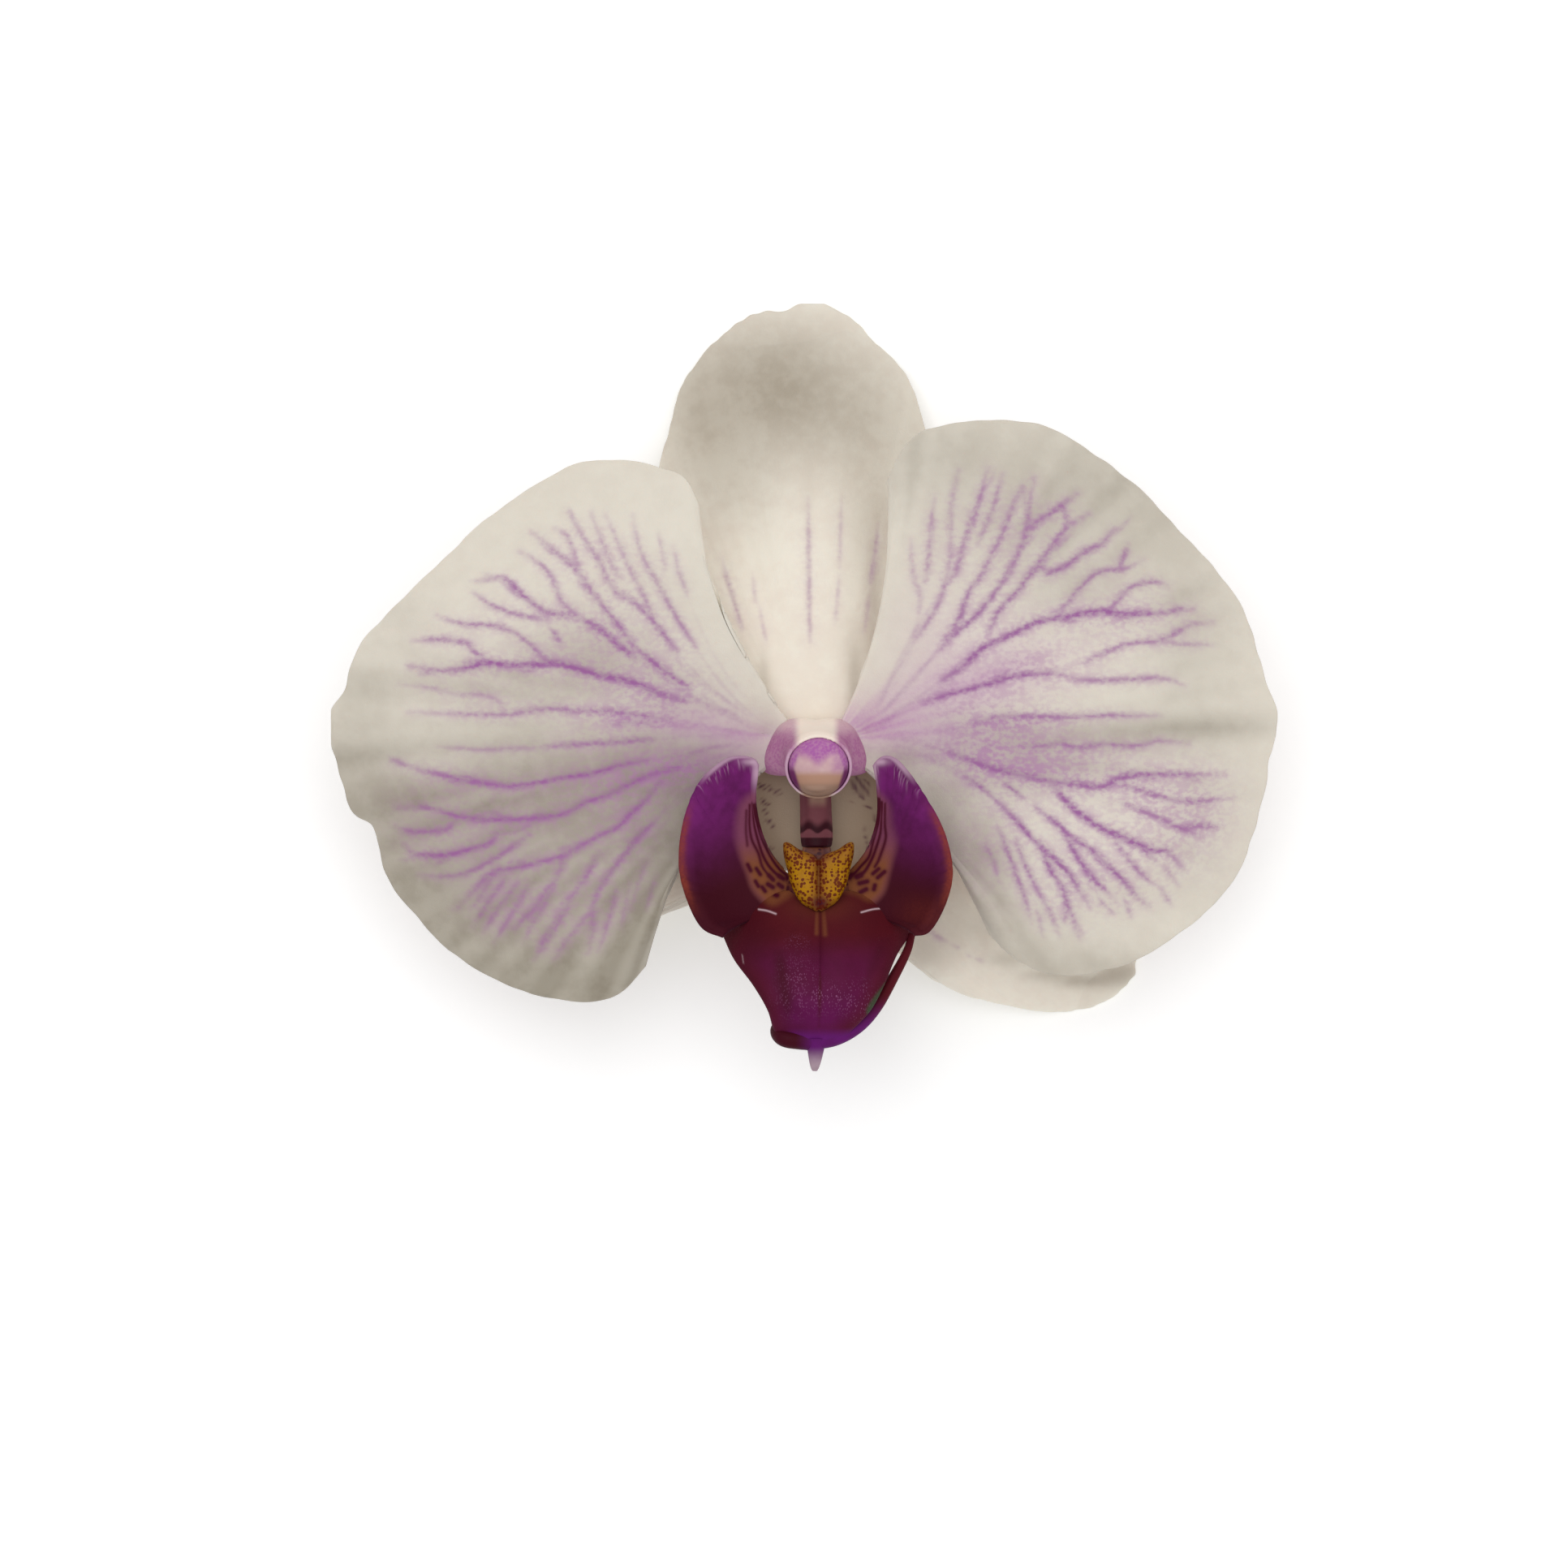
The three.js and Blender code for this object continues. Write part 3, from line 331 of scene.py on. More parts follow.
LEFT_VEINS = (
    (FAINT, (-13, 13.8), (-13.9, 16.4), (-14.3, 18.5)),
    (FAINT, (-15.2, 16.4), (-15.8, 19.7)),
    (MEDIUM, (-12.2, 8.5), (-13.9, 11.2), (-15.5, 14.1), (-16.8, 16.4), (-17.8, 18.4), (-18.4, 21.5)),
    (MEDIUM, (-16.5, 11.6), (-17.1, 13.1), (-18.1, 15.1), (-19.1, 17.1), (-20.1, 19.4), (-21.1, 21.6)),
    (MEDIUM, (-19.8, 15.4), (-20.7, 17.1), (-21.7, 19.4), (-22.6, 21.7)),
    (STRONG, (-14, 8), (-15.2, 9.5), (-16.8, 11.5), (-18.6, 13.1), (-20.1, 13.9), (-21.1, 15.4),
     (-22.1, 17.4), (-23.4, 19.4), (-24.8, 21.8)),
    (STRONG, (-18.4, 8.7), (-20.1, 10.8), (-21.7, 12.8), (-23.4, 15.1), (-24.7, 16.7), (-26.7, 18.4),
     (-28.6, 19.8)),
    (MEDIUM, (-23.8, 16), (-24.2, 17.4), (-25, 19.4), (-26.2, 20.2)),
    (MEDIUM, (-24, 11.5), (-25.5, 12.8), (-26.3, 14.8), (-27.6, 16.6), (-29.8, 17.9)),
    (STRONGEST, (-18.4, 7.4), (-20, 8.7), (-22, 10.3), (-24.4, 11.5)),
    (STRONG, (-24.4, 11.5), (-27.3, 12), (-29.3, 13.4), (-31.2, 15.1), (-33.2, 15.4)),
    (STRONG, (-12.9, 4.4), (-14.7, 5.6), (-16.3, 6.8), (-18.4, 8.5)),
    (MEDIUM, (-27.1, 11.2), (-29.9, 11.6), (-32.6, 12.5), (-34.5, 13.8)),
    (MEDIUM, (-25.8, 8.9), (-26.7, 10.2)),
    (MEDIUM, (-26.9, 7), (-28.1, 7.9), (-28.9, 8.7), (-30.5, 9.9), (-32.5, 10.5), (-35.8, 10.7),
     (-38.2, 11.5)),
    (STRONGEST, (-13.3, 3), (-15.9, 3.7), (-17.9, 4.6), (-20, 5.2), (-22, 5.6), (-24, 6.2), (-26.1, 6.7),
     (-28.5, 6.6), (-31.3, 6.6), (-32.9, 6.8), (-35.4, 6.2), (-37.8, 6), (-41, 6.4)),
    (MEDIUM, (-32.9, 7), (-34.4, 7.9), (-35.2, 8.7), (-38.2, 9.1), (-40.6, 8.9)),
    (FAINT, (-31.3, 2.4), (-32.5, 3.2), (-33.8, 3.6), (-36.2, 3.6), (-38.6, 4.2), (-41.9, 4.6)),
    (MEDIUM, (-14.7, 1), (-17.1, 1.4), (-19.2, 1.7), (-21.2, 1.9), (-24, 1.9), (-26.5, 2.2), (-28.9, 2),
     (-30.9, 1.6), (-34.2, 1.6), (-37.4, 1.7), (-41, 1.7)),
    (FAINT, (-16.3, 0.6), (-18.6, 0.8), (-21, 0.4)),
    (MEDIUM, (-16.3, -0.9), (-18.8, -1.1), (-21.2, -1.3), (-24.4, -1.5), (-28.5, -1.8)),
    (FAINT, (-28.5, -1.8), (-33.3, -1.9), (-38, -1.6)),
    (STRONG, (-17.1, -3.1), (-19.6, -3.5), (-22.4, -4.3), (-25.2, -4.7), (-28.1, -5.3), (-30.9, -5.6),
     (-34.2, -5.3), (-37, -4.7), (-39.4, -4.1), (-42.7, -3.1)),
    (STRONG, (-13.9, -3.9), (-15.9, -4.3), (-18.4, -5.3), (-20.8, -6.5), (-23.2, -7.3), (-25.2, -8.4),
     (-27.3, -8.8), (-30.5, -9), (-33.8, -9), (-36.2, -8.6), (-38.2, -7.9), (-40.6, -7.7), (-42.3, -7.7)),
    (MEDIUM, (-36.2, -9.2), (-37.4, -10), (-40.2, -10.2), (-42.3, -9.6)),
    (STRONG, (-32.1, -10.4), (-32.9, -11.4), (-34.8, -12), (-37, -12.5), (-40.2, -12.5), (-41.4, -11.6)),
    (FAINT, (-28.2, -9.2), (-30.1, -10.2), (-32.1, -10.4)),
    (MEDIUM, (-28.9, -10.5), (-30.3, -11.5), (-32.2, -12.8), (-34.2, -13.9), (-35.8, -14.5),
     (-37.8, -14.7), (-39.8, -14.6)),
    (STRONG, (-15.8, -5.4), (-17.1, -7.1), (-18.8, -8.6), (-19.8, -9.7), (-21.4, -10.5), (-23.4, -11.5),
     (-25.3, -12.6), (-27.6, -13.3), (-29.9, -13.8), (-32.2, -14.2), (-33.5, -15.1), (-34.9, -16.6),
     (-36.2, -18)),
    (FAINT, (-32.2, -14.3), (-33.9, -16.9), (-34.9, -18.5)),
    (MEDIUM, (-31.2, -14.9), (-32.9, -17.2), (-34.4, -19.7)),
    (MEDIUM, (-29.9, -15.3), (-31.9, -17.9), (-33.4, -20.3)),
    (MEDIUM, (-28.9, -15.6), (-30.1, -17.7), (-31.4, -19.7), (-32.4, -21.3)),
    (MEDIUM, (-25.5, -12.8), (-25.6, -13.9), (-26.3, -15.3)),
    (STRONG, (-26.6, -15.4), (-28, -17.5), (-29.3, -18.9), (-30.3, -20)),
    (MEDIUM, (-26.3, -15.3), (-27.1, -17.2), (-28.3, -19.2), (-29.3, -21.2)),
    (STRONG, (-21.9, -12.5), (-23, -14.6), (-24.4, -16.6), (-25.3, -18.2), (-25.8, -19.2), (-26.7, -20.7),
     (-27.1, -21.8)),
    (MEDIUM, (-25.3, -18.2), (-26.7, -19.8), (-27.6, -21.8), (-28.3, -23.1)),
    (STRONG, (-17.5, -10.5), (-18.8, -12), (-20.1, -13.6), (-21.4, -15.3), (-22.2, -16.9), (-22.5, -18.4),
     (-22.4, -19.8), (-23, -22.3)),
    (MEDIUM, (-22.6, -18.2), (-24, -19.8), (-25.3, -21.5), (-26.3, -23.1)),
    (MEDIUM, (-20.1, -16.2), (-20.6, -18.2), (-21.1, -19.8), (-21.9, -22.1)),
    (FAINT, (-18.8, -15.6), (-19.2, -17.9), (-19.6, -20)),
    (FAINT, (-17.1, -13.3), (-18, -15.9), (-18.6, -18.2)),
    (FAINT, (-16.2, -14.9), (-17, -18.2)),
    (MEDIUM, (-16.3, -9.4), (-17.9, -10.8), (-19.6, -12.8)),
)
DORSAL_VEINS = (
    (MEDIUM, (-9.4, 17.4), (-8.8, 15), (-8, 12.4), (-7.4, 10.2)),
    (FAINT, (-6.3, 15.6), (-6, 12.8)), (FAINT, (-5.6, 12.4), (-5, 9)),
    (MEDIUM, (-0.9, 23.4), (-0.8, 19), (-0.7, 14), (-0.6, 9)),
    (FAINT, (2.6, 23.4), (2.5, 20), (2.4, 16.4)), (FAINT, (2.4, 15.6), (2, 11)),
    (MEDIUM, (6.3, 20.8), (6, 18), (5.5, 14.8)), (FAINT, (5.4, 14), (4.9, 10)),
)
LATERAL_MARKS = (
    (0.6, (11.4, -20.1), (12.3, -20.8), (13.4, -21.4)), (0.4, (13.9, -21.7), (14.5, -22)),
    (0.3, (15.2, -22.6), (15.7, -22.8)), (0.5, (16.3, -23), (16.9, -23.3)),
    (0.25, (10.6, -18.5), (11.6, -19.4)),
)
HIDDEN_VEIN = ((0.1, (-9, -6), (-20, -10)),)
THROAT_SPOTS = (
    (1, (-5.6, -5.4), (-5.5, -5.8)), (0.9, (-5.2, -5.5), (-5.1, -5.9)), (0.8, (-4.6, -5.6), (-4.5, -6.1)),
    (0.8, (-4.1, -6), (-3.9, -6.5)), (0.7, (-3.6, -6), (-3.5, -6.4)), (1, (-5.3, -6.9), (-5.1, -7.4)),
    (0.9, (-4.9, -7.4), (-4.6, -7.5)), (0.9, (-5.1, -8), (-4.9, -8.4)), (0.6, (-5.1, -8.8), (-5, -9.1)),
    (1, (-4.6, -9.1), (-4.3, -9.7)), (0.45, (-4.4, -9.8), (-4.5, -11)), (0.7, (-4.8, -11.7), (-4.6, -12)),
    (0.5, (-4.3, -11.9), (-4.1, -12.2)), (0.9, (4.1, -4.7), (4, -6.3)), (0.8, (4.5, -4.9), (4.5, -6.7)),
    (0.8, (4.9, -5), (4.8, -6.9)), (0.7, (5.3, -5.2), (5.2, -6.6)), (0.7, (3.7, -5), (3.7, -5.9)),
    (0.9, (5, -7.6), (5.5, -7.8)), (0.9, (6, -8.5), (6, -9.1)), (0.4, (4.8, -9.4), (5, -10.8)),
    (0.6, (5, -10.8), (5.3, -11.9)), (0.4, (3.4, -7.1), (3.8, -7.3)),
)

# Soft stains: the middle of each, its reach along x and y, and its strength
RIGHT_BLUSH = (
    (6, 0.6, 4.4, 1.7, 0.88), (9, 2.8, 5, 2, 0.4), (14, 4.6, 5, 2.4, 0.42), (18, 6.6, 6, 3, 0.32),
    (11, 9.5, 4, 5, 0.15), (10, -0.4, 6, 2.2, 0.38),
)
RIGHT_HAZE = (
    (17, -1.8, 4.5, 1.7, 0.8), (22, -2.6, 4.5, 2, 0.5), (16, 1.4, 3.5, 1.1, 0.35), (21, 0.8, 4.5, 1.4, 0.35),
    (27, -3.6, 5, 2.2, 0.28), (22, 6.9, 6, 2.2, 0.32), (18, 10, 4, 3, 0.16), (34, -5.5, 6, 2.4, 0.25),
    (32, -10, 5, 3.5, 0.18), (30, 11.5, 6, 2.2, 0.2), (27, -15.5, 5, 4, 0.16), (20, 20.5, 7, 4, 0.1),
    (18, -3, 6.5, 3, 0.32), (16, 3, 6, 3.5, 0.26), (28, -4.5, 9, 3.5, 0.12), (37.5, -8.5, 4.5, 5, 0.26),
    (17, -11, 4, 6, 0.26), (30, 11, 9, 4, 0.12), (22, 4, 6, 3, 0.14), (7, -2, 5, 2.5, 0.14),
    (22, -3.4, 7, 2.4, 0.3), (37, -9.5, 4, 4, 0.12), (17, 2, 6, 3, 0.1), (29, -15.5, 5, 3, 0.08),
)
LEFT_BLUSH = (
    (-7.4, -0.5, 4.2, 1.3, 0.62), (-12.5, 1, 5, 1.5, 0.45), (-9, -2.8, 5, 1.5, 0.4),
)
LEFT_HAZE = (
    (-14.5, -3.8, 4, 1.7, 0.88), (-17, 1.4, 5, 1.3, 0.36), (-20, -5, 5, 2.2, 0.36),
    (-36.5, -5.5, 6, 2.6, 0.25), (-38, -10, 5, 3, 0.2), (-30, -17, 6, 3.5, 0.14),
    (-25, -18.5, 4, 3, 0.06), (-22, 7.5, 6, 3, 0.14), (-18, -10, 4, 4, 0.2), (-30, -10.5, 5, 3, 0.14),
    (-18, 3, 8, 5, 0.2), (-30, 7, 9, 6, 0.08), (-22, -6.5, 8, 3.5, 0.16), (-10, 0, 4, 3, 0.1),
    (-16.5, 4, 5, 3, 0.28), (-20, 0, 7, 2.4, 0.14), (-21, 9, 5, 3, 0.17), (-33, 4, 5, 2, 0.1),
    (-22, -8.5, 4, 2, 0.1),
)

# Where the veins of each petal are fainter
RIGHT_FADED = ((17, 19, 8, 6, 0.4), (12, 20, 4, 8, 0.2), (24, -19, 8, 3.5, 0.25))
LEFT_FADED = (
    (-20, 17, 8, 7, 0.5), (-25, -18.5, 8, 4.5, 0.45), (-20, -13, 5, 3, 0.25), (-34, 2, 8, 2.5, 0.2),
)

# Painted shade on each blade: grey laid in soft stains where the blade lies in shade, as under and beside
# the parts over it, along its folds and towards its lower side and bent-back end
LEFT_PAINTED_SHADE = (
    (-30, -16, 19, 13, 0.88), (-24, -5, 15, 5, 0.65), (-15, -9, 6, 9, 0.9), (-32, 4.5, 12, 2.4, 0.22),
    (-48, -4, 3.5, 3.5, 0.55), (-40, -8, 8, 3, 0.42), (-42, -14, 4, 6, 0.35), (-24, -25.5, 10, 3.4, 0.95),
    (-17.8, -20, 4, 5.5, 0.85), (-9, -3, 5, 1.4, 0.5), (-30, -8, 14, 2.2, 0.35), (-15, -5, 5, 2.5, 0.3),
    (-46, 3.6, 3.5, 3, 0.36), (-44, -4, 3, 3, 0.3), (-30, -24, 6, 3, 0.3), (-21.5, 10, 6, 4, 0.24),
    (-33, -8, 12, 3, 0.2), (-16, -4, 5, 3, 0.24), (-39, -17, 4, 6, 0.2), (-42, 11, 3, 3, 0.14),
    (-30, 5, 12, 3, 0.12), (-27, 0, 4, 2.5, 0.1), (-22, 7.5, 6, 2.6, 0.2), (-34, -8.5, 8, 3, 0.24),
    (-15.5, -5, 5, 3, 0.28), (-22, -9, 5, 3, 0.2), (-17.5, -18, 3, 4, 0.3), (-38, -20, 4, 3, 0.3),
    (-42, -12, 3, 6, 0.16), (-14.5, -12, 2.5, 4, 0.25), (-35, -8, 8, 2.4, 0.32), (-16, -3.6, 3.6, 2.2, 0.36),
    (-25, 6, 10, 4, 0.2), (-20, -20, 3.4, 3, 0.34), (-15, 4, 4, 2.5, 0.14),
)
RIGHT_PAINTED_SHADE = (
    (28, 24, 14, 8, 0.5), (12, 28, 6, 5, 0.35), (38, 0.4, 7, 1.3, 0.5), (13.4, -9, 3.2, 7, 0.62),
    (28, -0.6, 10, 1.7, 0.42), (8, -2.6, 5, 1.3, 0.5), (17.6, -17.4, 3.4, 5.5, 0.5), (27, -24, 9, 2.4, 0.4),
    (17, -12, 2.6, 3.5, 0.35), (39, 11, 5, 6, 0.22), (40, -8, 4, 6, 0.12), (21, -3.5, 6, 2.5, 0.22),
    (19, -23, 4, 3, 0.3), (14, 0, 5, 2, 0.14), (28, 14, 7, 4, 0.18), (20, -2, 8, 4, 0.2),
    (32, -2, 8, 4, 0.16), (38, 3, 6, 6, 0.14), (17, -13, 3, 4, 0.2), (22, -19, 6, 3, 0.18),
    (30, -16, 8, 3, 0.1),
    (23, -3.6, 7, 2.6, 0.3), (17, 0.5, 5, 1.6, 0.2), (16.5, -13, 2.4, 5, 0.2), (24, 16, 5, 3, 0.16),
    (36.5, 11, 3, 7, 0.18), (37, -10, 3, 5, 0.14), (20, 21, 4, 2.5, 0.14),
)
DORSAL_PAINTED_SHADE = (
    (-4, 34.5, 10, 7.5, 1), (-11, 31, 5, 7, 0.75), (5, 31, 7, 6, 0.5), (-8.5, 24.5, 4, 4, 0.3),
    (5.8, 13, 1.1, 8, 0.55), (3.9, 4.5, 0.8, 4, 0.6), (-5.2, 4.5, 0.6, 3, 0.4), (6.5, 22, 3, 5, 0.3),
    (4.4, 20, 2.2, 9, 0.24), (-6.4, 22, 3, 8, 0.16), (4.2, 8, 1.6, 4, 0.2),
)
LATERAL_PAINTED_SHADE = (
    (9.4, -15, 4.4, 5, 0.5), (-12.8, -13.6, 2.4, 2.4, 0.75), (14, -20, 5, 3, 0.3), (11, -22.5, 3, 2, 0.3),
    (19.4, -23.1, 2, 0.8, 0.4), (23.4, -24.6, 2.4, 0.6, 0.5), (27.4, -25.3, 3.6, 0.8, 0.72),
    (31, -24.6, 2.4, 1.2, 0.68),
)

# The lip's markings. Among them, the glints and the sparkle are painted highlights, and the groove line, the
# folds and the dark area beside the right tendril are painted shade
LEFT_BAND = (
    (-5.2, -5.6), (-4.4, -9.4), (-3.4, -12), (-1.6, -13.6), (-1.4, -16), (-3.2, -17.4), (-4.3, -17.9),
    (-5.3, -17.2), (-6.4, -15.9), (-7, -14.2), (-7.8, -12.2), (-8.3, -10.3), (-8.1, -8), (-7.2, -6.6),
)
RIGHT_BAND = (
    (5.4, -5.4), (4.8, -9.4), (3.9, -12), (2.1, -13.6), (2, -16), (4.2, -16.9), (5.1, -17.4), (5.9, -17.3),
    (6.9, -16.2), (7.4, -14.5), (7.8, -12.9), (8.3, -11.2), (8, -9.4), (7.6, -7.2),
)
LEFT_STRIPES = (
    (1.1, (-6.1, -7.4), (-5.9, -8.9), (-5.7, -10.4), (-5.2, -11.8), (-4.5, -13.1), (-3.7, -14.1),
     (-3, -14.6)),
    (1.1, (-6.4, -7.2), (-6.4, -8.9), (-6.2, -10.4), (-5.7, -12.2), (-5.1, -13.4), (-4.3, -14.3),
     (-3.6, -14.8)),
    (1, (-6.8, -7.4), (-6.9, -9.5), (-6.7, -11), (-6, -12.4), (-5.5, -13.7), (-4.7, -14.7), (-4.3, -15.1)),
    (0.8, (-7.2, -8), (-7.3, -10), (-7.1, -11.6)),
    (2.2, (-7, -13.5), (-6.7, -14.1)), (2, (-6.2, -15.2), (-5.9, -15.7)),
    (2.2, (-5.5, -15.8), (-5.2, -16.2)), (2.8, (-4.9, -15.5), (-4.4, -15.8)),
    (2.8, (-3.8, -15.5), (-3.4, -15.8)), (3, (-4, -16.8), (-3.8, -16.9)),
    (2.4, (-4.8, -14.6), (-4.4, -15)), (2.2, (-3.8, -14.7), (-3.3, -15)), (3, (-2.9, -14.9), (-2.7, -15.2)),
    (2, (-6.1, -13.9), (-5.7, -14.5)),
)
RIGHT_STRIPES = (
    (1.1, (6.3, -6.9), (6.3, -9.5), (6, -11.2), (5.6, -12.8), (4.7, -13.8), (4, -14.5), (3.5, -14.8)),
    (1.1, (6.7, -7.1), (6.8, -8.9), (6.8, -10.4), (6.3, -12.1), (5.8, -13.2), (5.1, -14.2), (4.3, -14.8)),
    (1, (7.2, -7.3), (7.3, -9.5), (7.4, -10.7), (7.1, -11.8), (6.5, -13.1), (6.1, -13.7)),
    (2.4, (7.1, -14.2), (6.4, -14.8)), (2.6, (6.1, -15.6), (6, -16)), (2.8, (5.2, -16), (4.6, -16.3)),
    (2.8, (5.3, -15.2), (4.5, -15.4)), (2.6, (4.7, -14.6), (4.2, -14.8)), (3, (3.7, -14.6), (3.5, -14.9)),
    (2, (6.5, -13.9), (5.9, -14.4)),
)
# Painted highlights: pale glints on the glossy folds where the side lobes meet the middle lobe, and a faint
# one on the middle lobe's left side
LIP_GLINTS = (
    (1, (-5.6, -18.3), (-4.75, -18.45), (-3.9, -18.75)),
    (1, (6.5, -18.2), (5.6, -18.3), (4.5, -18.6)),
    (0.35, (-7.2, -22.8), (-7.1, -23.6)),
)
AMBER_LINES = ((0.9, (0, -18.1), (-0.05, -20.7)), (0.9, (0.95, -18.1), (1.1, -20.8)))
# Painted shade down the middle lobe's groove
GROOVE_SHADE_LINE = ((1, (0.5, -17.9), (0.5, -21), (0.45, -25), (0.3, -29.6)),)
# Painted shade along the middle lobe's folds
LIP_FOLD_SHADES = (
    (0.9, (-3.6, -22.6), (-3.2, -25.5), (-2.6, -29)), (0.5, (-6.6, -21.4), (-5.4, -24)),
    (0.5, (6.6, -21.6), (5.2, -25)),
)
# Painted shade: dark green-grey in the lower part of the gap beside the right tendril
SLIT_SHADE_OUTLINE = ((6.9, -25.5), (7.4, -25.8), (6.4, -27.8), (5.3, -28.6), (5, -28), (5.9, -26.7))
# Painted highlights: where the middle lobe's tiny cells sparkle
SPARKLE_PLACES = (
    (-1.9, -21.7, 0.9, 0.7, 0.8), (-1.8, -24.6, 1.6, 1.5, 0.8), (1.6, -26.9, 3.2, 1.2, 1),
    (4.2, -27.2, 1, 1.6, 1), (-2.2, -27.5, 1.8, 1.2, 0.5),
)
EMBER_PLACES = ((11, -18.6, 2.4, 1.8, 0.22),)
AMBER_PLACES = ((0.5, -17.9, 3.6, 1.5, 0.4),)
# Painted shade near the middle lobe's left margin, beside its folds
FOLD_SHADE_PLACES = ((-6.3, -21.2, 2, 2.8, 0.6),)
CALLUS_STAINS = ((0.45, -17.4, 1.1, 0.8, 1), (0.35, -12.8, 0.8, 0.4, 0.9))
STROKE = 0.16  # half the width of a stripe
THIN_STROKE = 0.075

# The twigs that a seeded rule grows from the stronger veins
TWIG_BEARER = 8  # the shortest vein with twigs
TWIG_PLACES = (0.45, 0.95)  # the share of a vein that bears them
TWIG_GAP = 4.2
TWIG_ANGLES = (14, 30)
TWIG_LENGTHS = (1.2, 3)
TWIG_STRENGTHS = (0.28, 0.5)

# Faint lines lead from a blade's base to each vein that begins this far from it
ROOT_SPANS = (5, 18)
ROOT_STRENGTH = 0.2

# The blades, piece by piece. A pleat has its angle, its height and its width
PETALS = (
    {
        "piece": "left_petal",
        "node": "petal_left",
        "shape": PETAL_LEFT,
        "root": (-4.8, -0.4),
        "side": -1,
        "tilt": 0.4,
        "pleats": ((0.03, 1.1, 0.06), (-0.07, -0.8, 0.05), (-0.2, 0.5, 0.08)),
        "veins": LEFT_VEINS,
        "faded": LEFT_FADED,
        "blush": LEFT_BLUSH,
        "haze": LEFT_HAZE,
        "painted_shade": LEFT_PAINTED_SHADE,
        "seed": 11,
    },
    {
        "piece": "right_petal",
        "node": "petal_right",
        "shape": PETAL_RIGHT,
        "root": (4.8, -0.4),
        "side": 1,
        "tilt": 1.1,
        "pleats": ((0.09, 0.9, 0.06), (0, -0.9, 0.05), (-0.14, 0.4, 0.08)),
        "veins": RIGHT_VEINS,
        "faded": RIGHT_FADED,
        "blush": RIGHT_BLUSH,
        "haze": RIGHT_HAZE,
        "painted_shade": RIGHT_PAINTED_SHADE,
        "seed": 21,
    },
)
SEPALS = (
    {
        "piece": "top_sepal",
        "node": "dorsal_sepal",
        "shape": DORSAL,
        "grid": TOP_SEPAL_GRID,
        "root": (0, 0),
        "tip": (0, 43.5),
        "arch": 1.5,
        "veins": DORSAL_VEINS,
        "painted_shade": DORSAL_PAINTED_SHADE,
        "throat": (),
        "seed": 31,
    },
    {
        "piece": "left_sepal",
        "node": "lateral_sepal_left",
        "shape": LATERAL_LEFT,
        "grid": LOWER_SEPAL_GRID,
        "root": (-0.3, -6),
        "tip": (-32.2, -15.6),
        "arch": 1.2,
        "veins": HIDDEN_VEIN,
        "painted_shade": LATERAL_PAINTED_SHADE,
        "throat": THROAT_SPOTS,
        "seed": 33,
    },
    {
        "piece": "right_sepal",
        "node": "lateral_sepal_right",
        "shape": LATERAL_RIGHT,
        "grid": LOWER_SEPAL_GRID,
        "root": (0.3, -6),
        "tip": (32.6, -24.4),
        "arch": 1.2,
        "veins": LATERAL_MARKS,
        "painted_shade": LATERAL_PAINTED_SHADE,
        "throat": THROAT_SPOTS,
        "seed": 35,
    },
)
SIDE_LOBES = (
    {
        "piece": "left_side_lobe",
        "shape": LOBE_LEFT,
        "side": -1,
        "band": LEFT_BAND,
        "stripes": LEFT_STRIPES,
    },
    {
        "piece": "right_side_lobe",
        "shape": LOBE_RIGHT,
        "side": 1,
        "band": RIGHT_BAND,
        "stripes": RIGHT_STRIPES,
    },
)

# The tendrils: how thick each is at its ends, and its rings. Its wax has two colours, the places where the
# first ends and the second begins, and the axis of these places: 0 is x and 1 is y
TENDRILS = (
    {
        "piece": "left_tendril",
        "path": TENDRIL_LEFT,
        "radii": (1.1, 0.5),
        "rings": 90,
        "wax": ("lip_dark", "tip_violet", -2.2, 0.4, 0),
    },
    {
        "piece": "right_tendril",
        "path": TENDRIL_RIGHT,
        "radii": (0.95, 0.36),
        "rings": 120,
        "wax": ("tip_violet", "midlobe", -30.6, -26.5, 1),
    },
)

FLESH_DEPTH = 0.6  # how deep light goes into the tissue


# Settings that a user would change
def linear(value):
    """A screen colour's channel, from 0 to 255, as light."""
    share = value / 255
    return share / 12.92 if share <= 0.04045 else ((share + 0.055) / 1.055) ** 2.4


def color_property(name, description, screen_color):
    """A colour setting whose default is given as it looks on a screen."""
    return bpy.props.FloatVectorProperty(
        name=name,
        description=description,
        default=tuple(linear(value) for value in screen_color),
        size=3,
        min=0,
        max=1,
        subtype="COLOR",
    )


def length_property(name, description, millimetres):
    """A length setting whose default is given in millimetres."""
    return bpy.props.FloatProperty(
        name=name,
        description=description,
        default=millimetres * MM,
        min=0,
        precision=5,
        unit="LENGTH",
        subtype="DISTANCE",
    )


class BloomSizes(bpy.types.PropertyGroup):
    petal_thickness: length_property("Petal thickness", "A petal in its middle", 0.78)
    sepal_thickness: length_property("Sepal thickness", "A sepal in its middle", 0.78)
    lip_thickness: length_property("Lip thickness", "A lobe of the lip in its middle", 0.88)
    margin_width: length_property("Margin width", "How far in from its margin a blade thins", 1.3)
    margin_dent: length_property("Margin dents", "How deep the small dents along a margin are", 0.16)
    vein_width: length_property("Vein width", "Half the width of a strong vein", 0.39)
    margin_share: bpy.props.FloatProperty(
        name="Margin share",
        description="Share of a blade's thickness that is left at its margin",
        default=0.28,
        min=0.05,
        max=1,
        subtype="FACTOR",
    )


